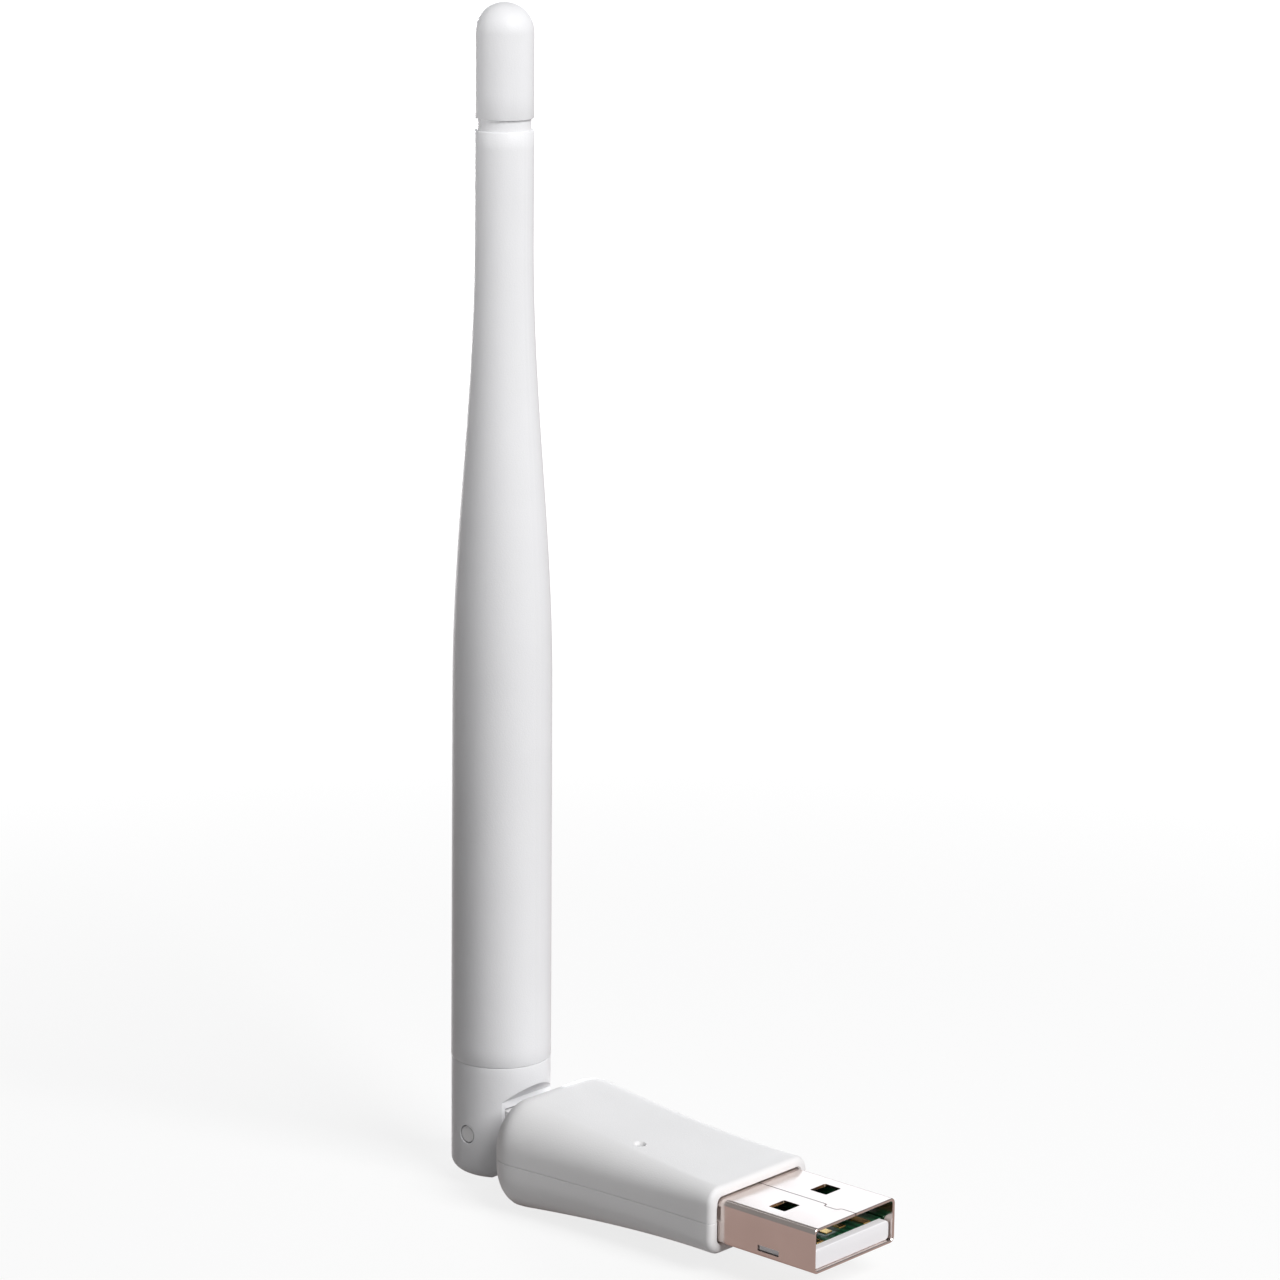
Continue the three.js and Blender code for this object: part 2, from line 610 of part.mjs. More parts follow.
function boardLead() {
  const x = X_FRONT - LEAD_START_SETBACK;
  const z = Z_BOARD_TOP + LEAD_RADIUS + 0.03;
  const path = new THREE.CatmullRomCurve3([
    new THREE.Vector3(x, 0, z),
    new THREE.Vector3((x + X_BOARD_REAR) / 2, 0, z),
    new THREE.Vector3(X_BOARD_REAR, 0, z),
    new THREE.Vector3(X_BLOCK_FRONT, 0, 0.1),
    new THREE.Vector3(X_RIB + RUN_GAP, 0, 0),
  ]);
  return named('coax_board_lead', wire(LEAD_RADIUS, path, 16), FINISH.lead);
}

// Runs on from the board's lead through the stem and turns up into the fork.
function swivelLead() {
  const path = new THREE.CurvePath();
  const start = new THREE.Vector3(X_RIB + RUN_GAP - LEAD_GAP - X_PIN, 0, 0);
  const bendStart = new THREE.Vector3(LEAD_BEND, 0, 0);
  const bendEnd = new THREE.Vector3(0, 0, LEAD_BEND);
  path.add(new THREE.LineCurve3(start, bendStart));
  path.add(new THREE.QuadraticBezierCurve3(bendStart, new THREE.Vector3(0, 0, 0), bendEnd));
  path.add(new THREE.LineCurve3(bendEnd, new THREE.Vector3(0, 0, SLOT_REACH - LEAD_GAP / 2)));
  return named('coax_swivel_lead', wire(LEAD_RADIUS, path, 18), FINISH.lead);
}

function antennaLead() {
  const lead = bar('z', LEAD_RADIUS, [SLOT_REACH, CHOKE_END + LEAD_GAP], {}, SMALL_SIDES);
  return named('coax_antenna_lead', lead, FINISH.lead);
}

// ---------------------------------------------------------------- antenna

// The fork's outside: round below, with a spigot on top that the sleeve is pushed on to.
function forkBase() {
  const profile = [[0, -FORK_DROP]];
  const roundCentre = FORK_RADIUS - FORK_BOTTOM_ROUND;
  for (let step = 0; step <= 4; step += 1) {
    const angle = step / 4 * Math.PI / 2;
    profile.push([
      roundCentre + FORK_BOTTOM_ROUND * Math.sin(angle),
      -FORK_DROP + FORK_BOTTOM_ROUND * (1 - Math.cos(angle)),
    ]);
  }
  const spigotRadius = SLEEVE_BORE - SPIGOT_FIT;
  const spigotTop = FORK_TOP + SPIGOT_LENGTH;
  profile.push([FORK_RADIUS, FORK_TOP], [spigotRadius, FORK_TOP], [spigotRadius, spigotTop], [0, spigotTop]);

  // What is taken off in front so that the fork clears the housing at every tilt.
  const noseAngle = -Math.acos(FORK_FLAT / FORK_NOSE_RADIUS);
  const relief = new THREE.Shape();
  relief.moveTo(FAR, -FAR);
  relief.lineTo(FAR, FORK_FLAT_TOP + FORK_RELIEF_RISE);
  relief.lineTo(FORK_FLAT + FORK_RELIEF_RISE, FORK_FLAT_TOP + FORK_RELIEF_RISE);
  relief.lineTo(FORK_FLAT, FORK_FLAT_TOP);
  relief.lineTo(FORK_FLAT, FORK_NOSE_RADIUS * Math.sin(noseAngle));
  relief.absarc(0, 0, FORK_NOSE_RADIUS, noseAngle, -Math.PI / 2, true);
  relief.lineTo(0, -FAR);

  const body = cut(
    turned(profile),
    extrudedAlongY(relief, FAR),
    box([-SLOT_REACH, FAR], [-SLOT_HALF, SLOT_HALF], [-FAR, SLOT_REACH]),
    bar('y', TRUNNION_RADIUS + TRUNNION_FIT, [-FAR, FAR]),
    bar('z', LEAD_BORE, [0, FAR], {}, SMALL_SIDES),
  );
  return named('fork_base', body, FINISH.antennaPlastic);
}

// The sleeve narrows between its shoulder and its tip along half a cosine wave.
function taperRadius(z, foot, shoulder, tip) {
  if (z <= TAPER_START) {
    return foot + (shoulder - foot) * (z - FORK_TOP) / (TAPER_START - FORK_TOP);
  }
  const along = Math.min((z - TAPER_START) / (TAPER_END - TAPER_START), 1);
  return tip + (shoulder - tip) * (1 + Math.cos(Math.PI * along)) / 2;
}

function antennaSleeve(taperSteps = 9) {
  const heights = [FORK_TOP];
  for (let step = 0; step <= taperSteps; step += 1) {
    heights.push(TAPER_START + (TAPER_END - TAPER_START) * step / taperSteps);
  }
  heights.push(SLEEVE_TOP);
  const outside = heights.map((z) => {
    return [taperRadius(z, SLEEVE_FOOT_RADIUS, SLEEVE_SHOULDER_RADIUS, SLEEVE_TIP_RADIUS), z];
  });
  const inside = heights.map((z) => [taperRadius(z, SLEEVE_BORE, SLEEVE_BORE, TIP_BORE), z]);
  const profile = [...outside, ...inside.reverse()];
  profile.push(profile[0]);
  return named('antenna_sleeve', turned(profile), FINISH.antennaPlastic);
}

function tipCap(domeSteps = 8) {
  const spigotRadius = TIP_BORE - SPIGOT_FIT;
  const shoulder = SLEEVE_TOP + NECK_HEIGHT;
  const profile = [
    [0, SLEEVE_TOP - CAP_SPIGOT_LENGTH],
    [spigotRadius, SLEEVE_TOP - CAP_SPIGOT_LENGTH],
    [spigotRadius, SLEEVE_TOP],
    [NECK_RADIUS, SLEEVE_TOP],
    [NECK_RADIUS, shoulder],
    [CAP_RADIUS, shoulder],
  ];
  const domeStart = ANTENNA_TOP - CAP_RADIUS;
  for (let step = 0; step < domeSteps; step += 1) {
    const angle = step / domeSteps * Math.PI / 2;
    profile.push([CAP_RADIUS * Math.cos(angle), domeStart + CAP_RADIUS * Math.sin(angle)]);
  }
  profile.push([0, ANTENNA_TOP]);
  return named('tip_cap', turned(profile), FINISH.antennaPlastic);
}

// A brass cup, closed at the top round the lead, that makes the lower half of the dipole.
function chokeTube() {
  const hole = LEAD_RADIUS + SPIGOT_FIT;
  const bore = CHOKE_RADIUS - CHOKE_SHEET;
  const profile = [
    [bore, CHOKE_START],
    [CHOKE_RADIUS, CHOKE_START],
    [CHOKE_RADIUS, CHOKE_END],
    [hole, CHOKE_END],
    [hole, CHOKE_END - CHOKE_SHEET],
    [bore, CHOKE_END - CHOKE_SHEET],
    [bore, CHOKE_START],
  ];
  return named('dipole_choke_tube', turned(profile, SMALL_SIDES), FINISH.brass);
}

// The upper half of the dipole: a straight wire with a phasing coil in its middle.
class RadiatorPath extends THREE.Curve {
  constructor(start, end) {
    super();
    this.start = start;
    this.end = end;
  }

  getPoint(along, target = new THREE.Vector3()) {
    const z = this.start + (this.end - this.start) * along;
    const turns = (z - COIL_START) / COIL_PITCH;
    const inCoil = Math.min(Math.max(turns, 0), COIL_TURNS);
    const nearestEnd = Math.min(inCoil, COIL_TURNS - inCoil);
    const reach = COIL_RADIUS * Math.min(nearestEnd * 2, 1);
    const angle = inCoil * 2 * Math.PI;
    return target.set(reach * Math.cos(angle), reach * Math.sin(angle), z);
  }
}

function radiatorWire() {
  const start = CHOKE_END + 2 * LEAD_GAP;
  const coilEnd = COIL_START + COIL_TURNS * COIL_PITCH;
  const straightBelow = bar('z', WIRE_RADIUS, [start, COIL_START + WIRE_RADIUS], {}, SMALL_SIDES / 2);
  const straightAbove = bar('z', WIRE_RADIUS, [coilEnd - WIRE_RADIUS, WIRE_END], {}, SMALL_SIDES / 2);
  const coil = wire(WIRE_RADIUS, new RadiatorPath(COIL_START, coilEnd), 14 * COIL_TURNS, 6);
  return named('radiator_wire', join(straightBelow, coil, straightAbove), FINISH.brass);
}

// A foam bush that keeps the wire in the middle of the sleeve.
function centringBush() {
  const outer = taperRadius(BUSH_PLACE + BUSH_LENGTH, SLEEVE_BORE, SLEEVE_BORE, TIP_BORE) - SPIGOT_FIT;
  const hole = WIRE_RADIUS + SPIGOT_FIT;
  const top = BUSH_PLACE + BUSH_LENGTH;
  const profile = [[hole, BUSH_PLACE], [outer, BUSH_PLACE], [outer, top], [hole, top], [hole, BUSH_PLACE]];
  return named('centring_bush', turned(profile, SMALL_SIDES), FINISH.spacerPlastic);
}

// ---------------------------------------------------------------- assembly

function housingGroup() {
  const group = new THREE.Group();
  group.add(topCover(), bottomCover(), plugShell(), plugSpacer(), circuitBoard());
  group.add(...contactPads(), ...boardParts(), lightPipe(), boardLead());
  return group;
}

function swivelGroup() {
  const group = new THREE.Group();
  group.add(swivelStem(), swivelLead());
  return group;
}

function antennaGroup() {
  const group = new THREE.Group();
  group.add(forkBase(), antennaSleeve(), tipCap(), antennaLead());
  group.add(chokeTube(), radiatorWire(), centringBush());
  return group;
}

function assemble() {
  const adapter = new THREE.Group();
  const hinge = new THREE.Group();
  hinge.position.x = X_PIN;
  hinge.add(swivelGroup(), antennaGroup());
  adapter.add(housingGroup(), hinge);

  const extent = new THREE.Box3().setFromObject(adapter);
  const middle = extent.getCenter(new THREE.Vector3());
  adapter.position.set(-middle.x, -middle.y, -extent.min.z);
  return adapter;
}

const adapter = assemble();

export default adapter;
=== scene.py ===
# %% [markdown]
# # A USB wireless adapter with a folding antenna
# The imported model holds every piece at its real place, and this file gives those pieces their finished look.
# Coarse round pieces are modelled again here, more finely, at the places and sizes that the frame gives.

# %% Load the frame
import json
import math

import bmesh
import bpy
from mathutils import Matrix, Vector


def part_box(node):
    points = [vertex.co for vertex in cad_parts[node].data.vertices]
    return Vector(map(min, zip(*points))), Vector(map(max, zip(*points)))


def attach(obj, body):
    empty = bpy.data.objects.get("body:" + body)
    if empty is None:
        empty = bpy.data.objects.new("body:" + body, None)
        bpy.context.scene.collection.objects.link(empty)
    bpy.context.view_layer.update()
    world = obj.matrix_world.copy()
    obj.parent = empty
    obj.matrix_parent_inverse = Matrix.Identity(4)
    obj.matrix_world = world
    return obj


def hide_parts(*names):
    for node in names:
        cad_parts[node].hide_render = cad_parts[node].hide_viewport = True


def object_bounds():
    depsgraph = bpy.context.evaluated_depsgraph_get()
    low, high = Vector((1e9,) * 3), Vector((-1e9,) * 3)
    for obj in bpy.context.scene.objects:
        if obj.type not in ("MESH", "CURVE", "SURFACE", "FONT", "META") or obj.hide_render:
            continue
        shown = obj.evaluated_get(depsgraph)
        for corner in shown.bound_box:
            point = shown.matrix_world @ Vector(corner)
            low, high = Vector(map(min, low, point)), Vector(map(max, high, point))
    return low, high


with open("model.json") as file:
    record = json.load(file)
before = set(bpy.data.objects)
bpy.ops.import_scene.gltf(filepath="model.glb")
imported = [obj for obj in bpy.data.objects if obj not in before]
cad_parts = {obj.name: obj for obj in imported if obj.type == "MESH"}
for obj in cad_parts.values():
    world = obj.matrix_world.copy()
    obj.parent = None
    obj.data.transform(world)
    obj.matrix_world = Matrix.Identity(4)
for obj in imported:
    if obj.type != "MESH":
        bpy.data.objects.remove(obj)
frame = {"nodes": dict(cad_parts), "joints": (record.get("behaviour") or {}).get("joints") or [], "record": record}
cad_low, cad_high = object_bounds()
MM = 0.001

# %% [markdown]
# ## Places that everything is built from
# The hinge is where the two joints cross, and the plug and the covers give the rest. Reading them from the
# frame means that a piece here can't drift away from the one that it stands for.

# %% Places
hinge = Vector(frame["joints"][0]["pos_m"])
plug_low, plug_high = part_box("plug_shell")
cover_low, cover_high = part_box("top_cover")
MOUTH = plug_high.x
FRONT = cover_high.x
REAR = cover_low.x
PARTING = cover_low.z
FORK_FOOT, FORK_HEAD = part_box("fork_base")
SLEEVE_FOOT, SLEEVE_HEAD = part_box("antenna_sleeve")
CAP_FOOT, CAP_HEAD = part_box("tip_cap")
print("housing %.2f mm long, antenna %.2f mm high" % ((FRONT - REAR) / MM, (CAP_HEAD.z - FORK_FOOT.z) / MM))

# %% [markdown]
# ## The camera
# A long lens a little above the adapter, looking at the plug's mouth and at its left side. It comes first so
# that every later render is framed the same way.

# %% Camera
CAMERA_AZIMUTH = math.radians(41.659)
CAMERA_ELEVATION = math.radians(13.416)
CAMERA_ROLL = math.radians(0.619)
CAMERA_PLACE = Vector((MOUTH, 0, PARTING)) + Vector((243.13, -304.58, 150.17)) * MM
LENS = 123.75


def place_camera():
    back = Vector((
        math.sin(CAMERA_AZIMUTH) * math.cos(CAMERA_ELEVATION),
        -math.cos(CAMERA_AZIMUTH) * math.cos(CAMERA_ELEVATION),
        math.sin(CAMERA_ELEVATION),
    ))
    right = Vector((math.cos(CAMERA_AZIMUTH), math.sin(CAMERA_AZIMUTH), 0))
    up = back.cross(right)
    turned_right = right * math.cos(CAMERA_ROLL) + up * math.sin(CAMERA_ROLL)
    turned_up = up * math.cos(CAMERA_ROLL) - right * math.sin(CAMERA_ROLL)
    data = bpy.data.cameras.new("camera")
    data.lens = LENS
    data.sensor_width = 36
    camera = bpy.data.objects.new("camera", data)
    bpy.context.collection.objects.link(camera)
    turn = Matrix((turned_right, turned_up, back)).transposed().to_4x4()
    camera.matrix_world = Matrix.Translation(CAMERA_PLACE) @ turn
    bpy.context.scene.camera = camera


place_camera()
bpy.context.scene.view_settings.view_transform = "Standard"

# %% [markdown]
# ## Helpers for materials
# Each finish is a Principled shader. Its pattern is noise on Object coordinates, so it stays on the piece
# when a joint moves. One noise drives a fine bump, and a wider one shifts the colour a little.

# %% Material helpers


def new_material(name, colour, roughness, metallic=0.0):
    material = bpy.data.materials.new(name)
    material.use_nodes = True
    shader = material.node_tree.nodes["Principled BSDF"]
    shader.inputs["Base Color"].default_value = (*colour, 1)
    shader.inputs["Roughness"].default_value = roughness
    shader.inputs["Metallic"].default_value = metallic
    return material, material.node_tree, shader


def add_noise(tree, scale, detail=2.0, stretch=(1, 1, 1)):
    place = tree.nodes.new("ShaderNodeTexCoord")
    mapping = tree.nodes.new("ShaderNodeMapping")
    mapping.inputs["Scale"].default_value = stretch
    noise = tree.nodes.new("ShaderNodeTexNoise")
    noise.inputs["Scale"].default_value = scale
    noise.inputs["Detail"].default_value = detail
    tree.links.new(place.outputs["Object"], mapping.inputs["Vector"])
    tree.links.new(mapping.outputs["Vector"], noise.inputs["Vector"])
    return noise


def add_bump(tree, shader, noise, depth, strength=0.6):
    bump = tree.nodes.new("ShaderNodeBump")
    bump.inputs["Distance"].default_value = depth
    bump.inputs["Strength"].default_value = strength
    tree.links.new(noise.outputs["Fac"], bump.inputs["Height"])
    tree.links.new(bump.outputs["Normal"], shader.inputs["Normal"])


def add_tint(tree, shader, noise, low, high):
    ramp = tree.nodes.new("ShaderNodeValToRGB")
    ramp.color_ramp.elements[0].position = 0.3
    ramp.color_ramp.elements[0].color = (*low, 1)
    ramp.color_ramp.elements[1].position = 0.7
    ramp.color_ramp.elements[1].color = (*high, 1)
    tree.links.new(noise.outputs["Fac"], ramp.inputs["Fac"])
    tree.links.new(ramp.outputs["Color"], shader.inputs["Base Color"])


def add_roughness(tree, shader, noise, low, high):
    spread = tree.nodes.new("ShaderNodeMapRange")
    spread.inputs["From Min"].default_value = 0.3
    spread.inputs["From Max"].default_value = 0.7
    spread.inputs["To Min"].default_value = low
    spread.inputs["To Max"].default_value = high
    tree.links.new(noise.outputs["Fac"], spread.inputs["Value"])
    tree.links.new(spread.outputs["Result"], shader.inputs["Roughness"])


def shade(colour, factor):
    return tuple(min(channel * factor, 1) for channel in colour)


# %% [markdown]
# ## Moulded plastics
# The covers and the antenna are white plastic from a spark-eroded mould, which leaves a fine matt grain. The
# grain is a bump about a tenth of a millimetre wide. The plug's bed is smoother, and the light pin is clear.

# %% Plastics


def moulded_plastic(name, colour, roughness, grain, depth):
    material, tree, shader = new_material(name, colour, roughness)
    grain_noise = add_noise(tree, 1 / grain, detail=3)
    cloud = add_noise(tree, 140, detail=2)
    add_bump(tree, shader, grain_noise, depth, strength=0.5)
    add_tint(tree, shader, cloud, shade(colour, 0.985), shade(colour, 1.01))
    add_roughness(tree, shader, grain_noise, roughness - 0.06, roughness + 0.06)
    shader.inputs["Specular IOR Level"].default_value = 0.4
    return material


HOUSING_WHITE = (0.80, 0.795, 0.80)
ANTENNA_WHITE = (0.77, 0.77, 0.785)
BED_WHITE = (0.82, 0.81, 0.83)
housing_plastic = moulded_plastic("housing_plastic", HOUSING_WHITE, 0.5, 0.13 * MM, 0.035 * MM)
antenna_plastic = moulded_plastic("antenna_plastic", ANTENNA_WHITE, 0.52, 0.14 * MM, 0.035 * MM)
plug_plastic = moulded_plastic("plug_plastic", BED_WHITE, 0.35, 0.3 * MM, 0.004 * MM)
bush_foam = moulded_plastic("bush_foam", (0.7, 0.7, 0.68), 0.9, 0.3 * MM, 0.08 * MM)
lead_jacket = moulded_plastic("lead_jacket", (0.03, 0.03, 0.032), 0.45, 0.2 * MM, 0.006 * MM)
chip_resin = moulded_plastic("chip_resin", (0.02, 0.02, 0.022), 0.55, 0.06 * MM, 0.008 * MM)
capacitor_ceramic = moulded_plastic("capacitor_ceramic", (0.35, 0.24, 0.15), 0.5, 0.08 * MM, 0.008 * MM)


def clear_plastic(name):
    material, tree, shader = new_material(name, (0.86, 0.87, 0.88), 0.25)
    haze = add_noise(tree, 3000, detail=2)
    add_roughness(tree, shader, haze, 0.15, 0.3)
    shader.inputs["Transmission Weight"].default_value = 0.25
    shader.inputs["IOR"].default_value = 1.49
    return material


clear_resin = clear_plastic("clear_resin")

# %% [markdown]
# ## Metals
# The plug is thin steel with bright nickel on it: mirror-like, with a warm tint and faint rolling lines along
# its length. The contacts are gilt, and the parts of the aerial are brass.

# %% Metals


def rolled_metal(name, colour, roughness, line_width, depth, stretch=(0.04, 1, 1)):
    material, tree, shader = new_material(name, colour, roughness, metallic=1)
    lines = add_noise(tree, 1 / line_width, detail=3, stretch=stretch)
    cloud = add_noise(tree, 300, detail=3)
    add_bump(tree, shader, lines, depth, strength=0.35)
    add_tint(tree, shader, cloud, shade(colour, 0.97), shade(colour, 1.02))
    add_roughness(tree, shader, cloud, roughness - 0.03, roughness + 0.04)
    return material


plug_steel = rolled_metal("plug_steel", (0.70, 0.62, 0.585), 0.17, 0.08 * MM, 0.0008 * MM)
can_steel = rolled_metal("can_steel", (0.6, 0.6, 0.61), 0.3, 0.05 * MM, 0.001 * MM)
contact_gilding = rolled_metal("contact_gilding", (0.95, 0.66, 0.25), 0.22, 0.05 * MM, 0.001 * MM)
ALONG_Z = (1, 1, 0.04)
dipole_brass = rolled_metal("dipole_brass", (0.75, 0.55, 0.25), 0.3, 0.06 * MM, 0.001 * MM, stretch=ALONG_Z)

# %% [markdown]
# ## The board
# Green solder mask lies over copper tracks, which show as slightly lighter, raised bands. A slightly
# distorted wave pattern across the board gives the tracks.

# %% Board finish


def board_finish(name):
    dark, light = (0.006, 0.05, 0.022), (0.012, 0.105, 0.045)
    material, tree, shader = new_material(name, dark, 0.3)
    place = tree.nodes.new("ShaderNodeTexCoord")
    wave = tree.nodes.new("ShaderNodeTexWave")
    wave.bands_direction = "Y"
    wave.inputs["Scale"].default_value = 320
    wave.inputs["Distortion"].default_value = 1.5
    ramp = tree.nodes.new("ShaderNodeValToRGB")
    ramp.color_ramp.interpolation = "EASE"
    ramp.color_ramp.elements[0].position = 0.55
    ramp.color_ramp.elements[0].color = (*dark, 1)
    ramp.color_ramp.elements[1].position = 0.65
    ramp.color_ramp.elements[1].color = (*light, 1)
    bump = tree.nodes.new("ShaderNodeBump")
    bump.inputs["Distance"].default_value = 0.02 * MM
    tree.links.new(place.outputs["Object"], wave.inputs["Vector"])
    tree.links.new(wave.outputs["Fac"], ramp.inputs["Fac"])
    tree.links.new(ramp.outputs["Color"], shader.inputs["Base Color"])
    tree.links.new(wave.outputs["Fac"], bump.inputs["Height"])
    tree.links.new(bump.outputs["Normal"], shader.inputs["Normal"])
    shader.inputs["Coat Weight"].default_value = 0.4
    return material


board_laminate = board_finish("board_laminate")

FINISHES = {
    "housing_plastic": housing_plastic,
    "antenna_plastic": antenna_plastic,
    "plug_plastic": plug_plastic,
    "bush_foam": bush_foam,
    "lead_jacket": lead_jacket,
    "chip_resin": chip_resin,
    "capacitor_ceramic": capacitor_ceramic,
    "clear_resin": clear_resin,
    "plug_steel": plug_steel,
    "can_steel": can_steel,
    "contact_gilding": contact_gilding,
    "dipole_brass": dipole_brass,
    "board_laminate": board_laminate,
}
for part in frame["record"]["subparts"]:
    node = frame["nodes"][part["node"]]
    node.data.materials.clear()
    node.data.materials.append(FINISHES[part["material_slot"]])
print("finishes", len(FINISHES))

# %% [markdown]
# ## Helpers for modelling
# Most pieces here are skins that pass through a row of outlines: a ring is drawn, extruded again and again,
# and each new ring is moved to the next outline. This is how a tapered or flared moulding is built by hand,
# and it keeps the mesh in clean quads. Holes and slots are then cut with Boolean modifiers.

# %% Modelling helpers
MERGE_DISTANCE = 0.0001 * MM


def select_only(piece):
    bpy.ops.object.select_all(action="DESELECT")
    piece.select_set(True)
    bpy.context.view_layer.objects.active = piece


def apply_modifiers(piece):
    select_only(piece)
    for modifier in list(piece.modifiers):
        bpy.ops.object.modifier_apply(modifier=modifier.name)


def skin(name, outlines, closed=False):
    """A body through outlines with equally many points. closed joins the last outline to the first."""
    count = len(outlines[0])
    bpy.ops.object.select_all(action="DESELECT")
    bpy.ops.mesh.primitive_circle_add(vertices=count, radius=1)
    piece = bpy.context.object
    piece.name = piece.data.name = name
    bpy.ops.object.mode_set(mode="EDIT")
    mesh = bmesh.from_edit_mesh(piece.data)
    slot = mesh.verts.layers.int.new("slot")
    mesh.verts.ensure_lookup_table()
    for number, vertex in enumerate(mesh.verts):
        vertex[slot] = number
        vertex.co = outlines[0][number]
    bmesh.update_edit_mesh(piece.data)
    if not closed:
        bpy.ops.mesh.select_all(action="SELECT")
        bpy.ops.mesh.edge_face_add()
    for outline in [*outlines[1:], *(outlines[:1] if closed else [])]:
        bpy.ops.mesh.extrude_region_move()
        mesh = bmesh.from_edit_mesh(piece.data)
        slot = mesh.verts.layers.int["slot"]
        for vertex in mesh.verts:
            if vertex.select:
                vertex.co = outline[vertex[slot]]
        bmesh.update_edit_mesh(piece.data)
    bpy.ops.mesh.select_all(action="SELECT")
    if closed:
        bpy.ops.mesh.remove_doubles(threshold=MERGE_DISTANCE)
    bpy.ops.mesh.normals_make_consistent(inside=False)
    bpy.ops.object.mode_set(mode="OBJECT")
    piece.data.attributes.remove(piece.data.attributes["slot"])
    return piece


def combine(piece, others, operation):
    """Cuts or joins other bodies, which are then removed."""
    for other in others:
        modifier = piece.modifiers.new(operation.lower(), "BOOLEAN")
        modifier.operation = operation
        modifier.solver = "EXACT"
        modifier.object = other
        apply_modifiers(piece)
        bpy.data.objects.remove(other)


def soften(piece, width, segments=2, angle=40):
    """Rounds the sharp edges, as the mould or the press leaves them."""
    modifier = piece.modifiers.new("soften", "BEVEL")
    modifier.width = width
    modifier.segments = segments
    modifier.limit_method = "ANGLE"
    modifier.angle_limit = math.radians(angle)
    modifier.use_clamp_overlap = True
    modifier.miter_outer = "MITER_ARC"
    apply_modifiers(piece)


def finish_piece(piece, body, material_slot, *nodes, angle=35):
    """Smooth shading, the finish, the body that it rides on and the nodes that it stands for."""
    select_only(piece)
    bpy.ops.object.shade_smooth_by_angle(angle=math.radians(angle))
    piece.data.materials.clear()
    piece.data.materials.append(FINISHES[material_slot])
    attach(piece, body)
    if nodes:
        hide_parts(*nodes)
    print(piece.name, len(piece.data.vertices), "points")


def on_plane(u, v, place, axis):
    """The point at u and v on the plane that stands across an axis."""
    if axis == "x":
        return Vector((place, u, v))
    if axis == "y":
        return Vector((v, place, u))
    return Vector((u, v, place))


def circle_outline(radius, place, axis="z", count=96, centre=(0, 0)):
    points = []
    for number in range(count):
        angle = 2 * math.pi * number / count
        u = centre[0] + radius * math.cos(angle)
        v = centre[1] + radius * math.sin(angle)
        points.append(on_plane(u, v, place, axis))
    return points


def box_outline(half_u, half_v, radius, place, axis="x", centre=(0, 0), arc=10, flat=4):
    """A rounded rectangle whose points go round from the +u side, with some points along each flat."""
    points = []
    corners = [(1, 1, 0), (-1, 1, 1), (-1, -1, 2), (1, -1, 3)]
    for side_u, side_v, quarter in corners:
        middle_u = side_u * (half_u - radius)
        middle_v = side_v * (half_v - radius)
        for step in range(arc + 1):
            angle = (quarter + step / arc) * math.pi / 2
            points.append((middle_u + radius * math.cos(angle), middle_v + radius * math.sin(angle)))
        end = points[-1]
        after = {0: (-(half_u - radius), half_v), 1: (-half_u, -(half_v - radius)),
                 2: (half_u - radius, -half_v), 3: (half_u, half_v - radius)}[quarter]
        for step in range(1, flat):
            share = step / flat
            points.append((end[0] + (after[0] - end[0]) * share, end[1] + (after[1] - end[1]) * share))
    return [on_plane(u + centre[0], v + centre[1], place, axis) for u, v in points]


def block(name, low, high, radius, axis="x"):
    """A rounded block between two corners, with its rounding round the axis."""
    a, b = {"x": (1, 2), "y": (2, 0), "z": (0, 1)}[axis]
    along = "xyz".index(axis)
    half_u, half_v = (high[a] - low[a]) / 2, (high[b] - low[b]) / 2
    centre = ((high[a] + low[a]) / 2, (high[b] + low[b]) / 2)
    ends = (low[along], high[along])
    return skin(name, [box_outline(half_u, half_v, radius, end, axis, centre) for end in ends])


# %% [markdown]
# ## The housing
# Two covers make a body that flares from the plug to the antenna. Its section is a rounded rectangle, and
# its ends are rounded off by arcs. The outside is one skin, and a smaller one of the same kind is taken out
# of it, which leaves walls of real thickness. The plug's opening and the stem's hole are cut through the
# ends, and the body is then cut in two at the parting line.

# %% Housing sizes
WALL = 1.0 * MM
FRONT_WALL = 1.6 * MM
REAR_WALL = 1.4 * MM
FRONT_EDGE = 1.6 * MM
REAR_EDGE = 4.2 * MM
MOUTH_ROUND = 0.6 * MM
REAR_PLAN_ROUND = 4 * MM
REAR_SIDE_ROUND = 3 * MM
PLUG_FIT = 0.1 * MM
PLUG_CORNER = 0.6 * MM
STEM_RADIUS = 2.8 * MM
STEM_GAP = 0.15 * MM
SHOULDER_SIDE = 1.2 * MM
SHOULDER_TOP = 1.15 * MM
SIDE_FLARE = 1.4 * MM
FLARE_LENGTH = FRONT - REAR - REAR_SIDE_ROUND
HALF_PLUG_WIDTH = (plug_high.y - plug_low.y) / 2
HALF_PLUG_HEIGHT = (plug_high.z - plug_low.z) / 2
FRONT_HALF_WIDTH = HALF_PLUG_WIDTH + SHOULDER_SIDE
FRONT_HALF_HEIGHT = HALF_PLUG_HEIGHT + SHOULDER_TOP
REAR_HALF_WIDTH = FRONT_HALF_WIDTH + SIDE_FLARE
REAR_HALF_HEIGHT = cover_high.z - PARTING


def arc_inset(distance, radius):
    rest = max(radius - distance, 0)
    return radius - math.sqrt(radius * radius - rest * rest)


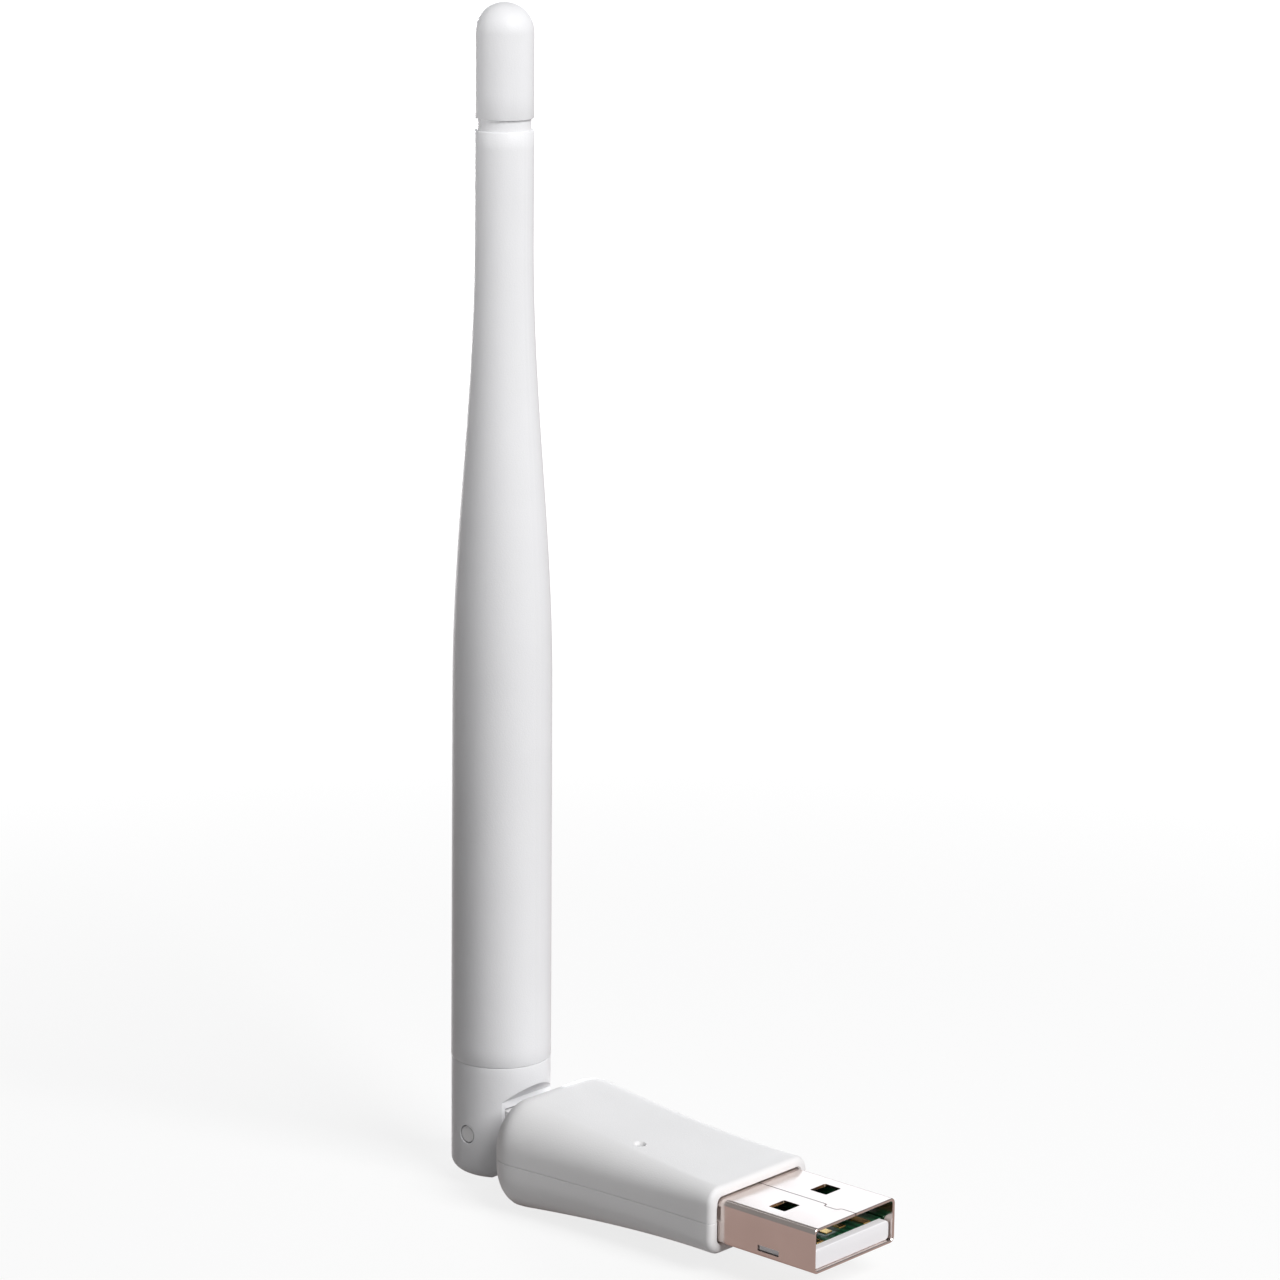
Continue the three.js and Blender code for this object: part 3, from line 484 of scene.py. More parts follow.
def housing_outline(x, inset=0.0):
    along = min(max((FRONT - x) / FLARE_LENGTH, 0), 1)
    front_inset = arc_inset(FRONT - x, MOUTH_ROUND)
    plan_inset = arc_inset(x - REAR, REAR_PLAN_ROUND)
    side_inset = arc_inset(x - REAR, REAR_SIDE_ROUND)
    flare = REAR_HALF_WIDTH - FRONT_HALF_WIDTH
    half_width = FRONT_HALF_WIDTH + flare * along ** 2 - front_inset - plan_inset
    half_height = FRONT_HALF_HEIGHT + (REAR_HALF_HEIGHT - FRONT_HALF_HEIGHT) * along ** 1.5
    half_width = min(half_width, cover_high.y)
    half_height -= front_inset + side_inset
    edge = FRONT_EDGE + (REAR_EDGE - FRONT_EDGE) * along - side_inset * 0.3 - front_inset * 0.5
    radius = max(min(edge, half_height - 0.05 * MM) - inset, 0.3 * MM)
    return box_outline(half_width - inset, half_height - inset, radius, x, "x", (0, PARTING), arc=12, flat=5)


def housing_places():
    places = [FRONT - MOUTH_ROUND * (1 - math.cos(step / 5 * math.pi / 2)) for step in range(6)]
    middle_start, middle_end = FRONT - MOUTH_ROUND, REAR + REAR_PLAN_ROUND
    places += [middle_start + (middle_end - middle_start) * step / 22 for step in range(1, 22)]
    places += [REAR + REAR_PLAN_ROUND * (1 - math.sin(step / 12 * math.pi / 2)) for step in range(13)]
    return places


# %% Housing body
OPENING_EASE = 0.12 * MM


def opening_outline(x, ease=0.0):
    half_width = HALF_PLUG_WIDTH + PLUG_FIT + ease
    half_height = HALF_PLUG_HEIGHT + PLUG_FIT + ease
    return box_outline(half_width, half_height, PLUG_CORNER + ease, x, "x", (0, PARTING), arc=12, flat=5)


def housing_body():
    outside = housing_places()
    inside = [x for x in outside if REAR + REAR_WALL < x < FRONT - FRONT_WALL]
    inside = [FRONT - FRONT_WALL, *inside, REAR + REAR_WALL]
    body = skin("housing_whole", [housing_outline(x) for x in outside])
    cavity = skin("cavity", [housing_outline(x, WALL) for x in inside])
    opening = skin("opening", [
        opening_outline(FRONT - 2 * FRONT_WALL),
        opening_outline(FRONT - OPENING_EASE),
        opening_outline(FRONT, OPENING_EASE),
        opening_outline(FRONT + FRONT_WALL, OPENING_EASE),
    ])
    stem_hole = skin("stem_hole", [
        circle_outline(STEM_RADIUS + STEM_GAP, x, "x", 64, (0, PARTING))
        for x in (REAR - REAR_WALL, REAR + 2 * REAR_WALL)
    ])
    combine(body, [cavity, opening, stem_hole], "DIFFERENCE")
    return body


housing_whole = housing_body()
print("housing body", len(housing_whole.data.vertices), "points")

# %% [markdown]
# The opening has a small notch at either side of the plug, and the top has a countersunk hole for the status
# light. Both are cut before the covers are parted.

# %% Notch and light hole
NOTCH_HEIGHT = 1.5 * MM
NOTCH_DEPTH = 0.2 * MM
pipe_low, pipe_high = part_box("led_light_pipe")
LIGHT_X = (pipe_low.x + pipe_high.x) / 2
LIGHT_Y = (pipe_low.y + pipe_high.y) / 2
LIGHT_HOLE = 0.51 * MM
LIGHT_EASE = 0.16 * MM
LIGHT_ROOF = pipe_high.z + 0.22 * MM

notch_half = HALF_PLUG_WIDTH + PLUG_FIT + NOTCH_DEPTH
notch = block(
    "notch",
    (FRONT - 2 * FRONT_WALL, -notch_half, PARTING - 0.01 * MM),
    (FRONT + FRONT_WALL, notch_half, PARTING + NOTCH_HEIGHT),
    0.1 * MM,
)
light_rows = [
    (LIGHT_HOLE, LIGHT_ROOF - 3 * MM),
    (LIGHT_HOLE, LIGHT_ROOF - 1.5 * LIGHT_EASE),
    (LIGHT_HOLE + 0.4 * LIGHT_EASE, LIGHT_ROOF - 0.6 * LIGHT_EASE),
    (LIGHT_HOLE + LIGHT_EASE, LIGHT_ROOF),
    (LIGHT_HOLE + 3 * LIGHT_EASE, LIGHT_ROOF + 1 * MM),
]
light_hole = skin("light_hole", [
    circle_outline(radius, z, count=48, centre=(LIGHT_X, LIGHT_Y)) for radius, z in light_rows
])
combine(housing_whole, [notch, light_hole], "DIFFERENCE")

# %% [markdown]
# Taking the other half away from a copy for each cover leaves two closed shells that meet on a flat face. A
# tiny bevel on the lower one's outer rim makes the fine line along the side.

# %% Part the covers
PARTING_EASE = 0.1 * MM
TINY = 0.001 * MM
BEYOND = 20 * MM


def cover_from(whole, name, upper):
    piece = whole.copy()
    piece.data = whole.data.copy()
    piece.name = piece.data.name = name
    bpy.context.collection.objects.link(piece)
    side = -1 if upper else 1
    heights = sorted((PARTING, PARTING + side * BEYOND))
    other_low = (REAR - BEYOND, -BEYOND, heights[0])
    other_high = (FRONT + BEYOND, BEYOND, heights[1])
    other_half = block("other_half", other_low, other_high, 1 * MM)
    combine(piece, [other_half], "DIFFERENCE")
    if not upper:
        select_only(piece)
        bpy.ops.object.mode_set(mode="EDIT")
        bpy.ops.mesh.select_mode(type="EDGE")
        mesh = bmesh.from_edit_mesh(piece.data)
        for face in mesh.faces:
            face.select = False
        for edge in mesh.edges:
            edge.select = all(on_outer_rim(vertex.co) for vertex in edge.verts)
        bmesh.update_edit_mesh(piece.data)
        bpy.ops.mesh.bevel(offset=PARTING_EASE, segments=1, affect="EDGES")
        bpy.ops.object.mode_set(mode="OBJECT")
    return piece


def on_outer_rim(place):
    if abs(place.z - PARTING) > TINY:
        return False
    if place.x < REAR + TINY or place.x > FRONT - TINY:
        return True
    half_width = max(point.y for point in housing_outline(place.x))
    return abs(place.y) > half_width - 0.02 * MM


housing_top = cover_from(housing_whole, "housing_top", upper=True)
housing_bottom = cover_from(housing_whole, "housing_bottom", upper=False)
bpy.data.objects.remove(housing_whole)
finish_piece(housing_top, "housing", "housing_plastic", "top_cover")
finish_piece(housing_bottom, "housing", "housing_plastic", "bottom_cover")

# %% [markdown]
# ## The status light's pin
# A clear pin carries the light up to the hole. Its end is a shallow dome a little below the surface, which is
# what makes the dimple.

# %% Light pin
PIN_RADIUS = 0.45 * MM
PIN_DOME = 0.12 * MM


def light_pin():
    centre = (LIGHT_X, LIGHT_Y)
    heights = [pipe_low.z, pipe_low.z + 0.05 * MM]
    outlines = [circle_outline(PIN_RADIUS * 0.9, heights[0], count=48, centre=centre)]
    outlines.append(circle_outline(PIN_RADIUS, heights[1], count=48, centre=centre))
    for step in range(6):
        angle = step / 6 * math.pi / 2
        height = pipe_high.z - PIN_DOME * (1 - math.sin(angle))
        outlines.append(circle_outline(PIN_RADIUS * math.cos(angle), height, count=48, centre=centre))
    return skin("light_pin", outlines)


light_pin_piece = light_pin()
finish_piece(light_pin_piece, "housing", "clear_resin", "led_light_pipe")

# %% [markdown]
# ## The plug's shell
# The shell is a strip of thin steel folded into a box, so it has a seam along its top with a small dovetail
# that locks it. It has two latch holes in the top and two in the bottom, and a window in each side. The
# wall is modelled as one closed skin, and the holes, the windows and the seam are cut out of it.

# %% Plug shell
SHEET = 0.3 * MM
LIP_EASE = 0.08 * MM
LATCH_X = MOUTH - 6.16 * MM
LATCH_HALF_LENGTH = 1.0 * MM
LATCH_HALF_WIDTH = 1.15 * MM
LATCH_OFFSET = 3.05 * MM
WINDOW_X = MOUTH - 5.6 * MM
WINDOW_HALF_LENGTH = 1.3 * MM
WINDOW_HALF_HEIGHT = 0.3 * MM
WINDOW_Z = plug_low.z + 0.96 * MM


def shell_outline(x, inset):
    radius = PLUG_CORNER - inset
    return box_outline(HALF_PLUG_WIDTH - inset, HALF_PLUG_HEIGHT - inset, radius, x, "x", (0, PARTING))


def shell_skin():
    back, front = plug_low.x, MOUTH
    outlines = [shell_outline(back, LIP_EASE), shell_outline(back + LIP_EASE, 0)]
    for step in range(9):
        outlines.append(shell_outline(back + LIP_EASE + (front - back - 2 * LIP_EASE) * (step + 1) / 9, 0))
    outlines.append(shell_outline(front - 0.02 * MM, LIP_EASE * 0.6))
    outlines.append(shell_outline(front, LIP_EASE * 1.4))
    outlines.append(shell_outline(front, SHEET - LIP_EASE))
    outlines.append(shell_outline(front - LIP_EASE, SHEET))
    outlines.append(shell_outline(back + LIP_EASE, SHEET))
    outlines.append(shell_outline(back, SHEET - LIP_EASE))
    return skin("plug_shell_steel", outlines, closed=True)


plug_steel_shell = shell_skin()
latch_cutters = []
for side in (-1, 1):
    latch_cutters.append(block(
        "latch",
        (LATCH_X - LATCH_HALF_LENGTH, side * LATCH_OFFSET - LATCH_HALF_WIDTH, plug_low.z - 1 * MM),
        (LATCH_X + LATCH_HALF_LENGTH, side * LATCH_OFFSET + LATCH_HALF_WIDTH, plug_high.z + 1 * MM),
        0.18 * MM,
        axis="z",
    ))
window_cutter = block(
    "window",
    (WINDOW_X - WINDOW_HALF_LENGTH, plug_low.y - 1 * MM, WINDOW_Z - WINDOW_HALF_HEIGHT),
    (WINDOW_X + WINDOW_HALF_LENGTH, plug_high.y + 1 * MM, WINDOW_Z + WINDOW_HALF_HEIGHT),
    0.1 * MM,
    axis="y",
)
combine(plug_steel_shell, [*latch_cutters, window_cutter], "DIFFERENCE")

# %% [markdown]
# The seam is a strip that follows the joint's line, given a little thickness and cut out of the top. The line
# runs along the middle, steps aside round a small dovetail, and goes on to the mouth.

# %% Plug seam
SEAM_WIDTH = 0.11 * MM
SEAM_BELOW = 0.45 * MM
SEAM_ABOVE = 0.3 * MM
SEAM_LINE = [
    (-12.6, 0.05), (-3.65, 0.05), (-3.5, -0.05), (-3.5, -0.3), (-3.3, -0.45),
    (-2.2, -0.45), (-1.9, -0.35), (-1.8, -0.05), (-1.6, 0.05), (0.5, 0.05),
]


def seam_cutter():
    bpy.ops.object.select_all(action="DESELECT")
    bpy.ops.mesh.primitive_plane_add(size=1)
    piece = bpy.context.object
    bpy.ops.object.mode_set(mode="EDIT")
    mesh = bmesh.from_edit_mesh(piece.data)
    mesh.verts.ensure_lookup_table()
    bottom, top = plug_high.z - SEAM_BELOW, plug_high.z + SEAM_ABOVE
    points = [Vector((MOUTH + x * MM, y * MM, 0)) for x, y in SEAM_LINE]
    corners = sorted(mesh.verts, key=lambda vertex: (round(vertex.co.x), vertex.co.y))
    for number, vertex in enumerate(corners):
        height = bottom if number % 2 == 0 else top
        vertex.co = points[number // 2] + Vector((0, 0, height))
    bmesh.update_edit_mesh(piece.data)
    for start, end in zip(points[1:], points[2:]):
        bpy.ops.mesh.select_mode(type="EDGE")
        mesh = bmesh.from_edit_mesh(piece.data)
        for face in mesh.faces:
            face.select = False
        for edge in mesh.edges:
            edge.select = all((Vector((v.co.x, v.co.y, 0)) - start).length < TINY for v in edge.verts)
        bmesh.update_edit_mesh(piece.data)
        bpy.ops.mesh.extrude_region_move(TRANSFORM_OT_translate={"value": end - start})
    bpy.ops.object.mode_set(mode="OBJECT")
    thicken = piece.modifiers.new("thicken", "SOLIDIFY")
    thicken.thickness = SEAM_WIDTH
    thicken.offset = 0
    thicken.use_even_offset = True
    apply_modifiers(piece)
    return piece


combine(plug_steel_shell, [seam_cutter()], "DIFFERENCE")
finish_piece(plug_steel_shell, "housing", "plug_steel", "plug_shell", angle=30)

# %% [markdown]
# ## The plug's bed
# White plastic fills the lower half of the plug. Its front end stands up as a lip with rounded corners, and a
# small lug on each side snaps into the shell's window.

# %% Plug bed
bed_low, bed_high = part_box("plug_spacer")
board_low, board_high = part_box("circuit_board")
LIP_DEPTH = 0.9 * MM
LIP_CORNER = 0.5 * MM
EDGE_EASE = 0.12 * MM
BED_HALF_WIDTH = (board_high.y - board_low.y) / 2
WINDOW_FIT = 0.08 * MM
LUG_SINK = 0.12 * MM


def lip_skin():
    middle = (bed_low.z + bed_high.z) / 2
    half_height = (bed_high.z - bed_low.z) / 2
    back, front = bed_high.x - LIP_DEPTH, bed_high.x
    outlines = [box_outline(BED_HALF_WIDTH, half_height, LIP_CORNER, back, "x", (0, middle))]
    for step in range(6):
        angle = step / 5 * math.pi / 2
        inset = EDGE_EASE * (1 - math.cos(angle))
        x = front - EDGE_EASE * (1 - math.sin(angle))
        half_width = BED_HALF_WIDTH - inset
        outlines.append(box_outline(half_width, half_height - inset, LIP_CORNER - inset, x, "x", (0, middle)))
    return skin("plug_bed", outlines)


plug_bed = lip_skin()
bed_block = block(
    "bed",
    (bed_low.x, -BED_HALF_WIDTH, bed_low.z),
    (bed_high.x - LIP_DEPTH / 2, BED_HALF_WIDTH, board_low.z),
    0.3 * MM,
)
lug_low = (
    WINDOW_X - WINDOW_HALF_LENGTH + WINDOW_FIT,
    bed_low.y + LUG_SINK,
    WINDOW_Z - WINDOW_HALF_HEIGHT + WINDOW_FIT,
)
lug_high = (
    WINDOW_X + WINDOW_HALF_LENGTH - WINDOW_FIT,
    bed_high.y - LUG_SINK,
    WINDOW_Z + WINDOW_HALF_HEIGHT - WINDOW_FIT,
)
lug_block = block("lugs", lug_low, lug_high, 0.06 * MM, axis="y")
combine(plug_bed, [bed_block, lug_block], "UNION")
finish_piece(plug_bed, "housing", "plug_plastic", "plug_spacer")

# %% [markdown]
# ## The board and its contacts
# The board's front end is the plug's tongue. Four gilt contacts lie on it: each is a flat strip with rounded
# ends and a soft upper edge. Each strip is modelled at its own place.

# %% Board and contacts
CONTACT_EASE = 0.03 * MM
BOARD_EASE = 0.06 * MM
POST_SETBACK = 16.25 * MM
POST_OVERHANG = 0.25 * MM
POST_NOTCH_RADIUS = 1.1 * MM


def board_piece():
    middle = ((board_low.y + board_high.y) / 2, (board_low.z + board_high.z) / 2)
    half_width, half_height = BED_HALF_WIDTH, (board_high.z - board_low.z) / 2
    ends = [
        (board_low.x, BOARD_EASE),
        (board_low.x + BOARD_EASE, 0),
        (board_high.x - BOARD_EASE, 0),
        (board_high.x, BOARD_EASE),
    ]
    return skin("tongue_board", [
        box_outline(half_width - inset, half_height - inset, 0.1 * MM, x, "x", middle, arc=4)
        for x, inset in ends
    ])


def contact_piece(number):
    low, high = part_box("contact_pad_%d" % number)
    centre = ((low.x + high.x) / 2, (low.y + high.y) / 2)
    half_length, half_width = (high.x - low.x) / 2, (high.y - low.y) / 2
    radius = half_width * 0.3
    outlines = [box_outline(half_length, half_width, radius, low.z, "z", centre)]
    outlines.append(box_outline(half_length, half_width, radius, high.z - CONTACT_EASE, "z", centre))
    inset = CONTACT_EASE
    outlines.append(box_outline(half_length - inset, half_width - inset, radius - inset, high.z, "z", centre))
    return skin("contact_strip_%d" % number, outlines)


tongue_board = board_piece()
post_cutters = []
for side in (-1, 1):
    post_x = FRONT - POST_SETBACK
    post_y = side * (BED_HALF_WIDTH + POST_OVERHANG)
    post_cutters.append(skin("post_cutter", [
        circle_outline(POST_NOTCH_RADIUS, z, count=32, centre=(post_x, post_y))
        for z in (board_low.z - 1 * MM, board_high.z + 1 * MM)
    ]))
combine(tongue_board, post_cutters, "DIFFERENCE")
finish_piece(tongue_board, "housing", "board_laminate", "circuit_board")
for number in range(1, 5):
    strip = contact_piece(number)
    finish_piece(strip, "housing", "contact_gilding", "contact_pad_%d" % number)

# %% [markdown]
# ## The swivel
# A round stem turns in the housing's rear wall and ends in a flat tongue. Two stub trunnions stand out of the
# tongue: they are the hinge, and their ends show as small round discs on the fork. The pieces are joined
# into one moulding, and the path of the aerial lead is cut out of it.

# %% Swivel
stem_low, stem_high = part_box("swivel_stem")
FLANGE_RADIUS = 3.6 * MM
FLANGE_THICK = 1.2 * MM
TONGUE_HALF = 2.95 * MM
TONGUE_RADIUS = 2.8 * MM
TRUNNION_RADIUS = 0.83 * MM
LEAD_BORE = 0.85 * MM
LEAD_BEND = 1.4 * MM
SOFT_EDGE = 0.15 * MM
LEAD_CUT_REACH = 5 * MM


def tongue_outline(y, inset, count=64):
    """A strip with one round end, round the hinge, and the other end inside the stem."""
    radius = TONGUE_RADIUS - inset
    points = []
    for number in range(count):
        angle = 2 * math.pi * number / count
        x = hinge.x + radius * math.cos(angle)
        if math.cos(angle) > 0:
            x = min(REAR - STEM_GAP, x + 4 * MM)
        points.append(Vector((x, y, hinge.z + radius * math.sin(angle))))
    return points


def stem_skin():
    flange_start = stem_high.x - FLANGE_THICK
    neck = REAR - 1 * MM
    profile = [
        (STEM_RADIUS - SOFT_EDGE, neck), (STEM_RADIUS, neck + SOFT_EDGE), (STEM_RADIUS, flange_start),
        (FLANGE_RADIUS - 0.1 * MM, flange_start), (FLANGE_RADIUS, flange_start + 0.1 * MM),
        (FLANGE_RADIUS, stem_high.x - 0.1 * MM), (FLANGE_RADIUS - 0.1 * MM, stem_high.x),
    ]
    return skin("swivel", [circle_outline(radius, x, "x", 64, (0, hinge.z)) for radius, x in profile])


def tongue_skin():
    rows = [(-TONGUE_HALF, SOFT_EDGE), (-TONGUE_HALF + 0.05 * MM, 0.05 * MM), (-TONGUE_HALF + SOFT_EDGE, 0)]
    rows += [(-y, inset) for y, inset in rows[::-1]]
    return skin("tongue", [tongue_outline(y, inset) for y, inset in rows])


def trunnion_skin():
    ease = 0.06 * MM
    rows = [
        (stem_low.y, TRUNNION_RADIUS - ease), (stem_low.y + ease, TRUNNION_RADIUS),
        (stem_high.y - ease, TRUNNION_RADIUS), (stem_high.y, TRUNNION_RADIUS - ease),
    ]
    return skin("trunnions", [circle_outline(radius, y, "y", 48, (hinge.z, hinge.x)) for y, radius in rows])


swivel = stem_skin()
combine(swivel, [tongue_skin(), trunnion_skin()], "UNION")
lead_bore = skin("lead_bore", [
    circle_outline(LEAD_BORE, x, "x", 32, (0, hinge.z))
    for x in (hinge.x - LEAD_CUT_REACH, stem_high.x + 1 * MM)
])
lead_slot = block(
    "lead_slot",
    (hinge.x - LEAD_CUT_REACH, -LEAD_BORE, hinge.z - LEAD_BORE),
    (hinge.x + LEAD_BEND + LEAD_BORE, LEAD_BORE, hinge.z + LEAD_CUT_REACH),
    0.1 * MM,
    axis="y",
)
combine(swivel, [lead_bore, lead_slot], "DIFFERENCE")
finish_piece(swivel, "swivel", "housing_plastic", "swivel_stem")

# %% [markdown]
# ## The fork
# The antenna's foot is a round moulding with a slot for the tongue. Its side towards the housing is cut flat,
# with a slope above the flat and a round nose below, so that it clears the housing as it folds. It is
# modelled as a round skin, and the relief, the slot and the trunnions' holes are cut from it.

# %% Fork
FORK_RADIUS = (FORK_HEAD.y - FORK_FOOT.y) / 2
FORK_TOP = SLEEVE_FOOT.z
FORK_BOTTOM_ROUND = 1.2 * MM
FLAT_SETBACK = 1.47 * MM
NOSE_SETBACK = 0.07 * MM
SLOT_SIDE_GAP = 0.12 * MM
SLOT_END_GAP = 0.24 * MM
FORK_ROOF = 0.75 * MM
FORK_FLAT = FORK_RADIUS - FLAT_SETBACK
FORK_NOSE = FORK_RADIUS - NOSE_SETBACK
SLOT_HALF = TONGUE_HALF + SLOT_SIDE_GAP
SLOT_REACH = TONGUE_RADIUS + SLOT_END_GAP
FLAT_TOP = SLOT_REACH + FORK_ROOF
CUT_SIDE = 8 * MM
CUT_REACH = 9 * MM
SPIGOT_RADIUS = 3.7 * MM
TRUNNION_HOLE = 0.95 * MM


def fork_skin():
    rows = [(FORK_RADIUS - FORK_BOTTOM_ROUND - 1 * MM, FORK_FOOT.z)]
    for step in range(9):
        angle = step / 8 * math.pi / 2
        radius = FORK_RADIUS - FORK_BOTTOM_ROUND * (1 - math.sin(angle))
        rows.append((radius, FORK_FOOT.z + FORK_BOTTOM_ROUND * (1 - math.cos(angle))))
    straight_foot = FORK_FOOT.z + FORK_BOTTOM_ROUND
    straight = FORK_TOP - 0.06 * MM - straight_foot
    rows += [(FORK_RADIUS, straight_foot + straight * step / 12) for step in range(1, 13)]
    rows.append((FORK_RADIUS - 0.06 * MM, FORK_TOP))
    rows += [(SPIGOT_RADIUS, FORK_TOP), (SPIGOT_RADIUS, FORK_HEAD.z - 0.3 * MM)]
    rows.append((SPIGOT_RADIUS - 0.3 * MM, FORK_HEAD.z))
    return skin("antenna_fork", [circle_outline(r, z, "z", 128, (hinge.x, 0)) for r, z in rows])


def relief_points():
    """The outline, in X and Z from the hinge, of what is taken off the fork's front."""
    far = CUT_REACH
    points = [(far, -far), (far, FLAT_TOP + far - FORK_FLAT), (FORK_FLAT, FLAT_TOP)]
    nose_start = -math.acos(FORK_FLAT / FORK_NOSE)
    for step in range(17):
        angle = nose_start + (-math.pi / 2 - nose_start) * step / 16
        points.append((FORK_NOSE * math.cos(angle), FORK_NOSE * math.sin(angle)))
    points.append((0, -far))
    return points


def relief_cutter():
    flat = relief_points()
    outlines = []
    for y in (-CUT_SIDE, CUT_SIDE):
        outlines.append([Vector((hinge.x + x, y, hinge.z + z)) for x, z in flat])
    return skin("relief", outlines)


antenna_fork = fork_skin()
fork_slot = block(
    "fork_slot",
    (hinge.x - SLOT_REACH, -SLOT_HALF, hinge.z - CUT_REACH),
    (hinge.x + CUT_REACH, SLOT_HALF, hinge.z + SLOT_REACH),
    0.3 * MM,
    axis="y",
)
trunnion_hole = skin("trunnion_hole", [
    circle_outline(TRUNNION_HOLE, y, "y", 48, (hinge.z, hinge.x)) for y in (-CUT_SIDE, CUT_SIDE)
])
fork_bore = skin("fork_bore", [
    circle_outline(LEAD_BORE, z, "z", 32, (hinge.x, 0)) for z in (hinge.z, FORK_HEAD.z + 1 * MM)
])
combine(antenna_fork, [relief_cutter(), fork_slot, trunnion_hole, fork_bore], "DIFFERENCE")
soften(antenna_fork, 0.1 * MM, segments=3, angle=35)
finish_piece(antenna_fork, "antenna", "antenna_plastic", "fork_base", angle=40)

# %% [markdown]
# ## The sleeve
# The sleeve is a long tube, nearly straight below and narrowing towards the tip along half a cosine wave. It
# is moulded in a split mould, which leaves a very faint raised line down its front and back.

# %% Sleeve
MOULD_LINE = 0.025 * MM
SLEEVE_RADIUS = (SLEEVE_HEAD.y - SLEEVE_FOOT.y) / 2 - MOULD_LINE
SHOULDER_RADIUS = SLEEVE_RADIUS - 0.09 * MM
TIP_RADIUS = 2.88 * MM
SLEEVE_WALL = 1.1 * MM
STRAIGHT_LENGTH = 37.64 * MM
TAPER_LENGTH = 44.5 * MM
TAPER_START = SLEEVE_FOOT.z + STRAIGHT_LENGTH
TAPER_END = TAPER_START + TAPER_LENGTH
SLEEVE_COUNT = 120


def sleeve_radius(z):
    if z <= TAPER_START:
        draft = SHOULDER_RADIUS - SLEEVE_RADIUS
        return SLEEVE_RADIUS + draft * (z - SLEEVE_FOOT.z) / (TAPER_START - SLEEVE_FOOT.z)
    along = min((z - TAPER_START) / (TAPER_END - TAPER_START), 1)
    return TIP_RADIUS + (SHOULDER_RADIUS - TIP_RADIUS) * (1 + math.cos(math.pi * along)) / 2


def sleeve_outline(z, inset, ridge=True):
    outline = circle_outline(sleeve_radius(z) - inset, z, "z", SLEEVE_COUNT, (hinge.x, 0))
    if ridge:
        for number in (0, SLEEVE_COUNT // 2):
            outward = (outline[number] - Vector((hinge.x, 0, z))).normalized()
            outline[number] = outline[number] + outward * MOULD_LINE
    return outline


def sleeve_skin():
    bottom, top = SLEEVE_FOOT.z, SLEEVE_HEAD.z
    ease = 0.08 * MM
    outlines = [sleeve_outline(bottom, ease, False), sleeve_outline(bottom + 0.02 * MM, 0.03 * MM, False)]
    steps = 56
    for step in range(steps + 1):
        outlines.append(sleeve_outline(bottom + ease + (top - bottom - 2 * ease) * step / steps, 0, step > 0))
    outlines.append(sleeve_outline(top, ease, False))
    bore = SHOULDER_RADIUS - SLEEVE_WALL
    for z in (top, TAPER_END, TAPER_START + 30 * MM, TAPER_START + 15 * MM, TAPER_START, bottom):
        inset = sleeve_radius(z) - min(bore, sleeve_radius(z) - SLEEVE_WALL)
        outlines.append(sleeve_outline(z, inset, False))
    return skin("sleeve", outlines, closed=True)


sleeve = sleeve_skin()
finish_piece(sleeve, "antenna", "antenna_plastic", "antenna_sleeve", angle=50)

# %% [markdown]
# ## The cap
# The tip is closed by a cap with a round dome. A narrow neck leaves a groove between cap and sleeve, which
# shows as a dark ring.

# %% Cap
CAP_RADIUS = 2.85 * MM
NECK_RADIUS = 2.6 * MM
NECK_HEIGHT = 1.1 * MM


def cap_skin():
    top_of_sleeve = SLEEVE_HEAD.z
    shoulder = top_of_sleeve + NECK_HEIGHT
    spigot = TIP_RADIUS - SLEEVE_WALL - 0.1 * MM
    ease = 0.12 * MM
    rows = [(spigot - 0.2 * MM, CAP_FOOT.z), (spigot, CAP_FOOT.z + 0.2 * MM), (spigot, top_of_sleeve)]
    rows += [(NECK_RADIUS, top_of_sleeve), (NECK_RADIUS, shoulder), (CAP_RADIUS - ease, shoulder)]
    rows += [(CAP_RADIUS - ease * 0.3, shoulder + ease * 0.3), (CAP_RADIUS, shoulder + ease)]
    dome_start = CAP_HEAD.z - CAP_RADIUS
    rows += [(CAP_RADIUS, shoulder + (dome_start - shoulder) * share) for share in (0.3, 0.6, 1.0)]
    for step in range(1, 20):
        angle = step / 20 * math.pi / 2
        rows.append((CAP_RADIUS * math.cos(angle), dome_start + CAP_RADIUS * math.sin(angle)))
    return skin("tip", [circle_outline(r, z, "z", 96, (hinge.x, 0)) for r, z in rows])


tip = cap_skin()
finish_piece(tip, "antenna", "antenna_plastic", "tip_cap")

# %% [markdown]
# ## The lead across the hinge
# A thin lead runs through the stem and turns up into the fork. It is a round skin along that path. It rides
# stiffly on the swivel, so it doesn't bend as the antenna folds.

# %% Hinge lead
LEAD_RADIUS = 0.565 * MM
lead_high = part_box("coax_swivel_lead")[1]
LEAD_POINTS = 24


def hinge_lead():
    points = [Vector((lead_high.x, 0, hinge.z)), Vector((hinge.x + 4 * MM, 0, hinge.z))]
    for step in range(9):
        angle = step / 8 * math.pi / 2
        points.append(Vector((
            hinge.x + LEAD_BEND * (1 - math.sin(angle)), 0, hinge.z + LEAD_BEND * (1 - math.cos(angle)),
        )))
    points.append(Vector((hinge.x, 0, lead_high.z)))
    outlines = []
    for number, point in enumerate(points):
        before = points[max(number - 1, 0)]
        after = points[min(number + 1, len(points) - 1)]
        along = (after - before).normalized()
        side = Vector((0, 1, 0))
        up = along.cross(side)
        turns = [2 * math.pi * k / LEAD_POINTS for k in range(LEAD_POINTS)]
        outlines.append([
            point + (side * math.cos(turn) + up * math.sin(turn)) * LEAD_RADIUS for turn in turns
        ])
    return skin("hinge_lead", outlines)


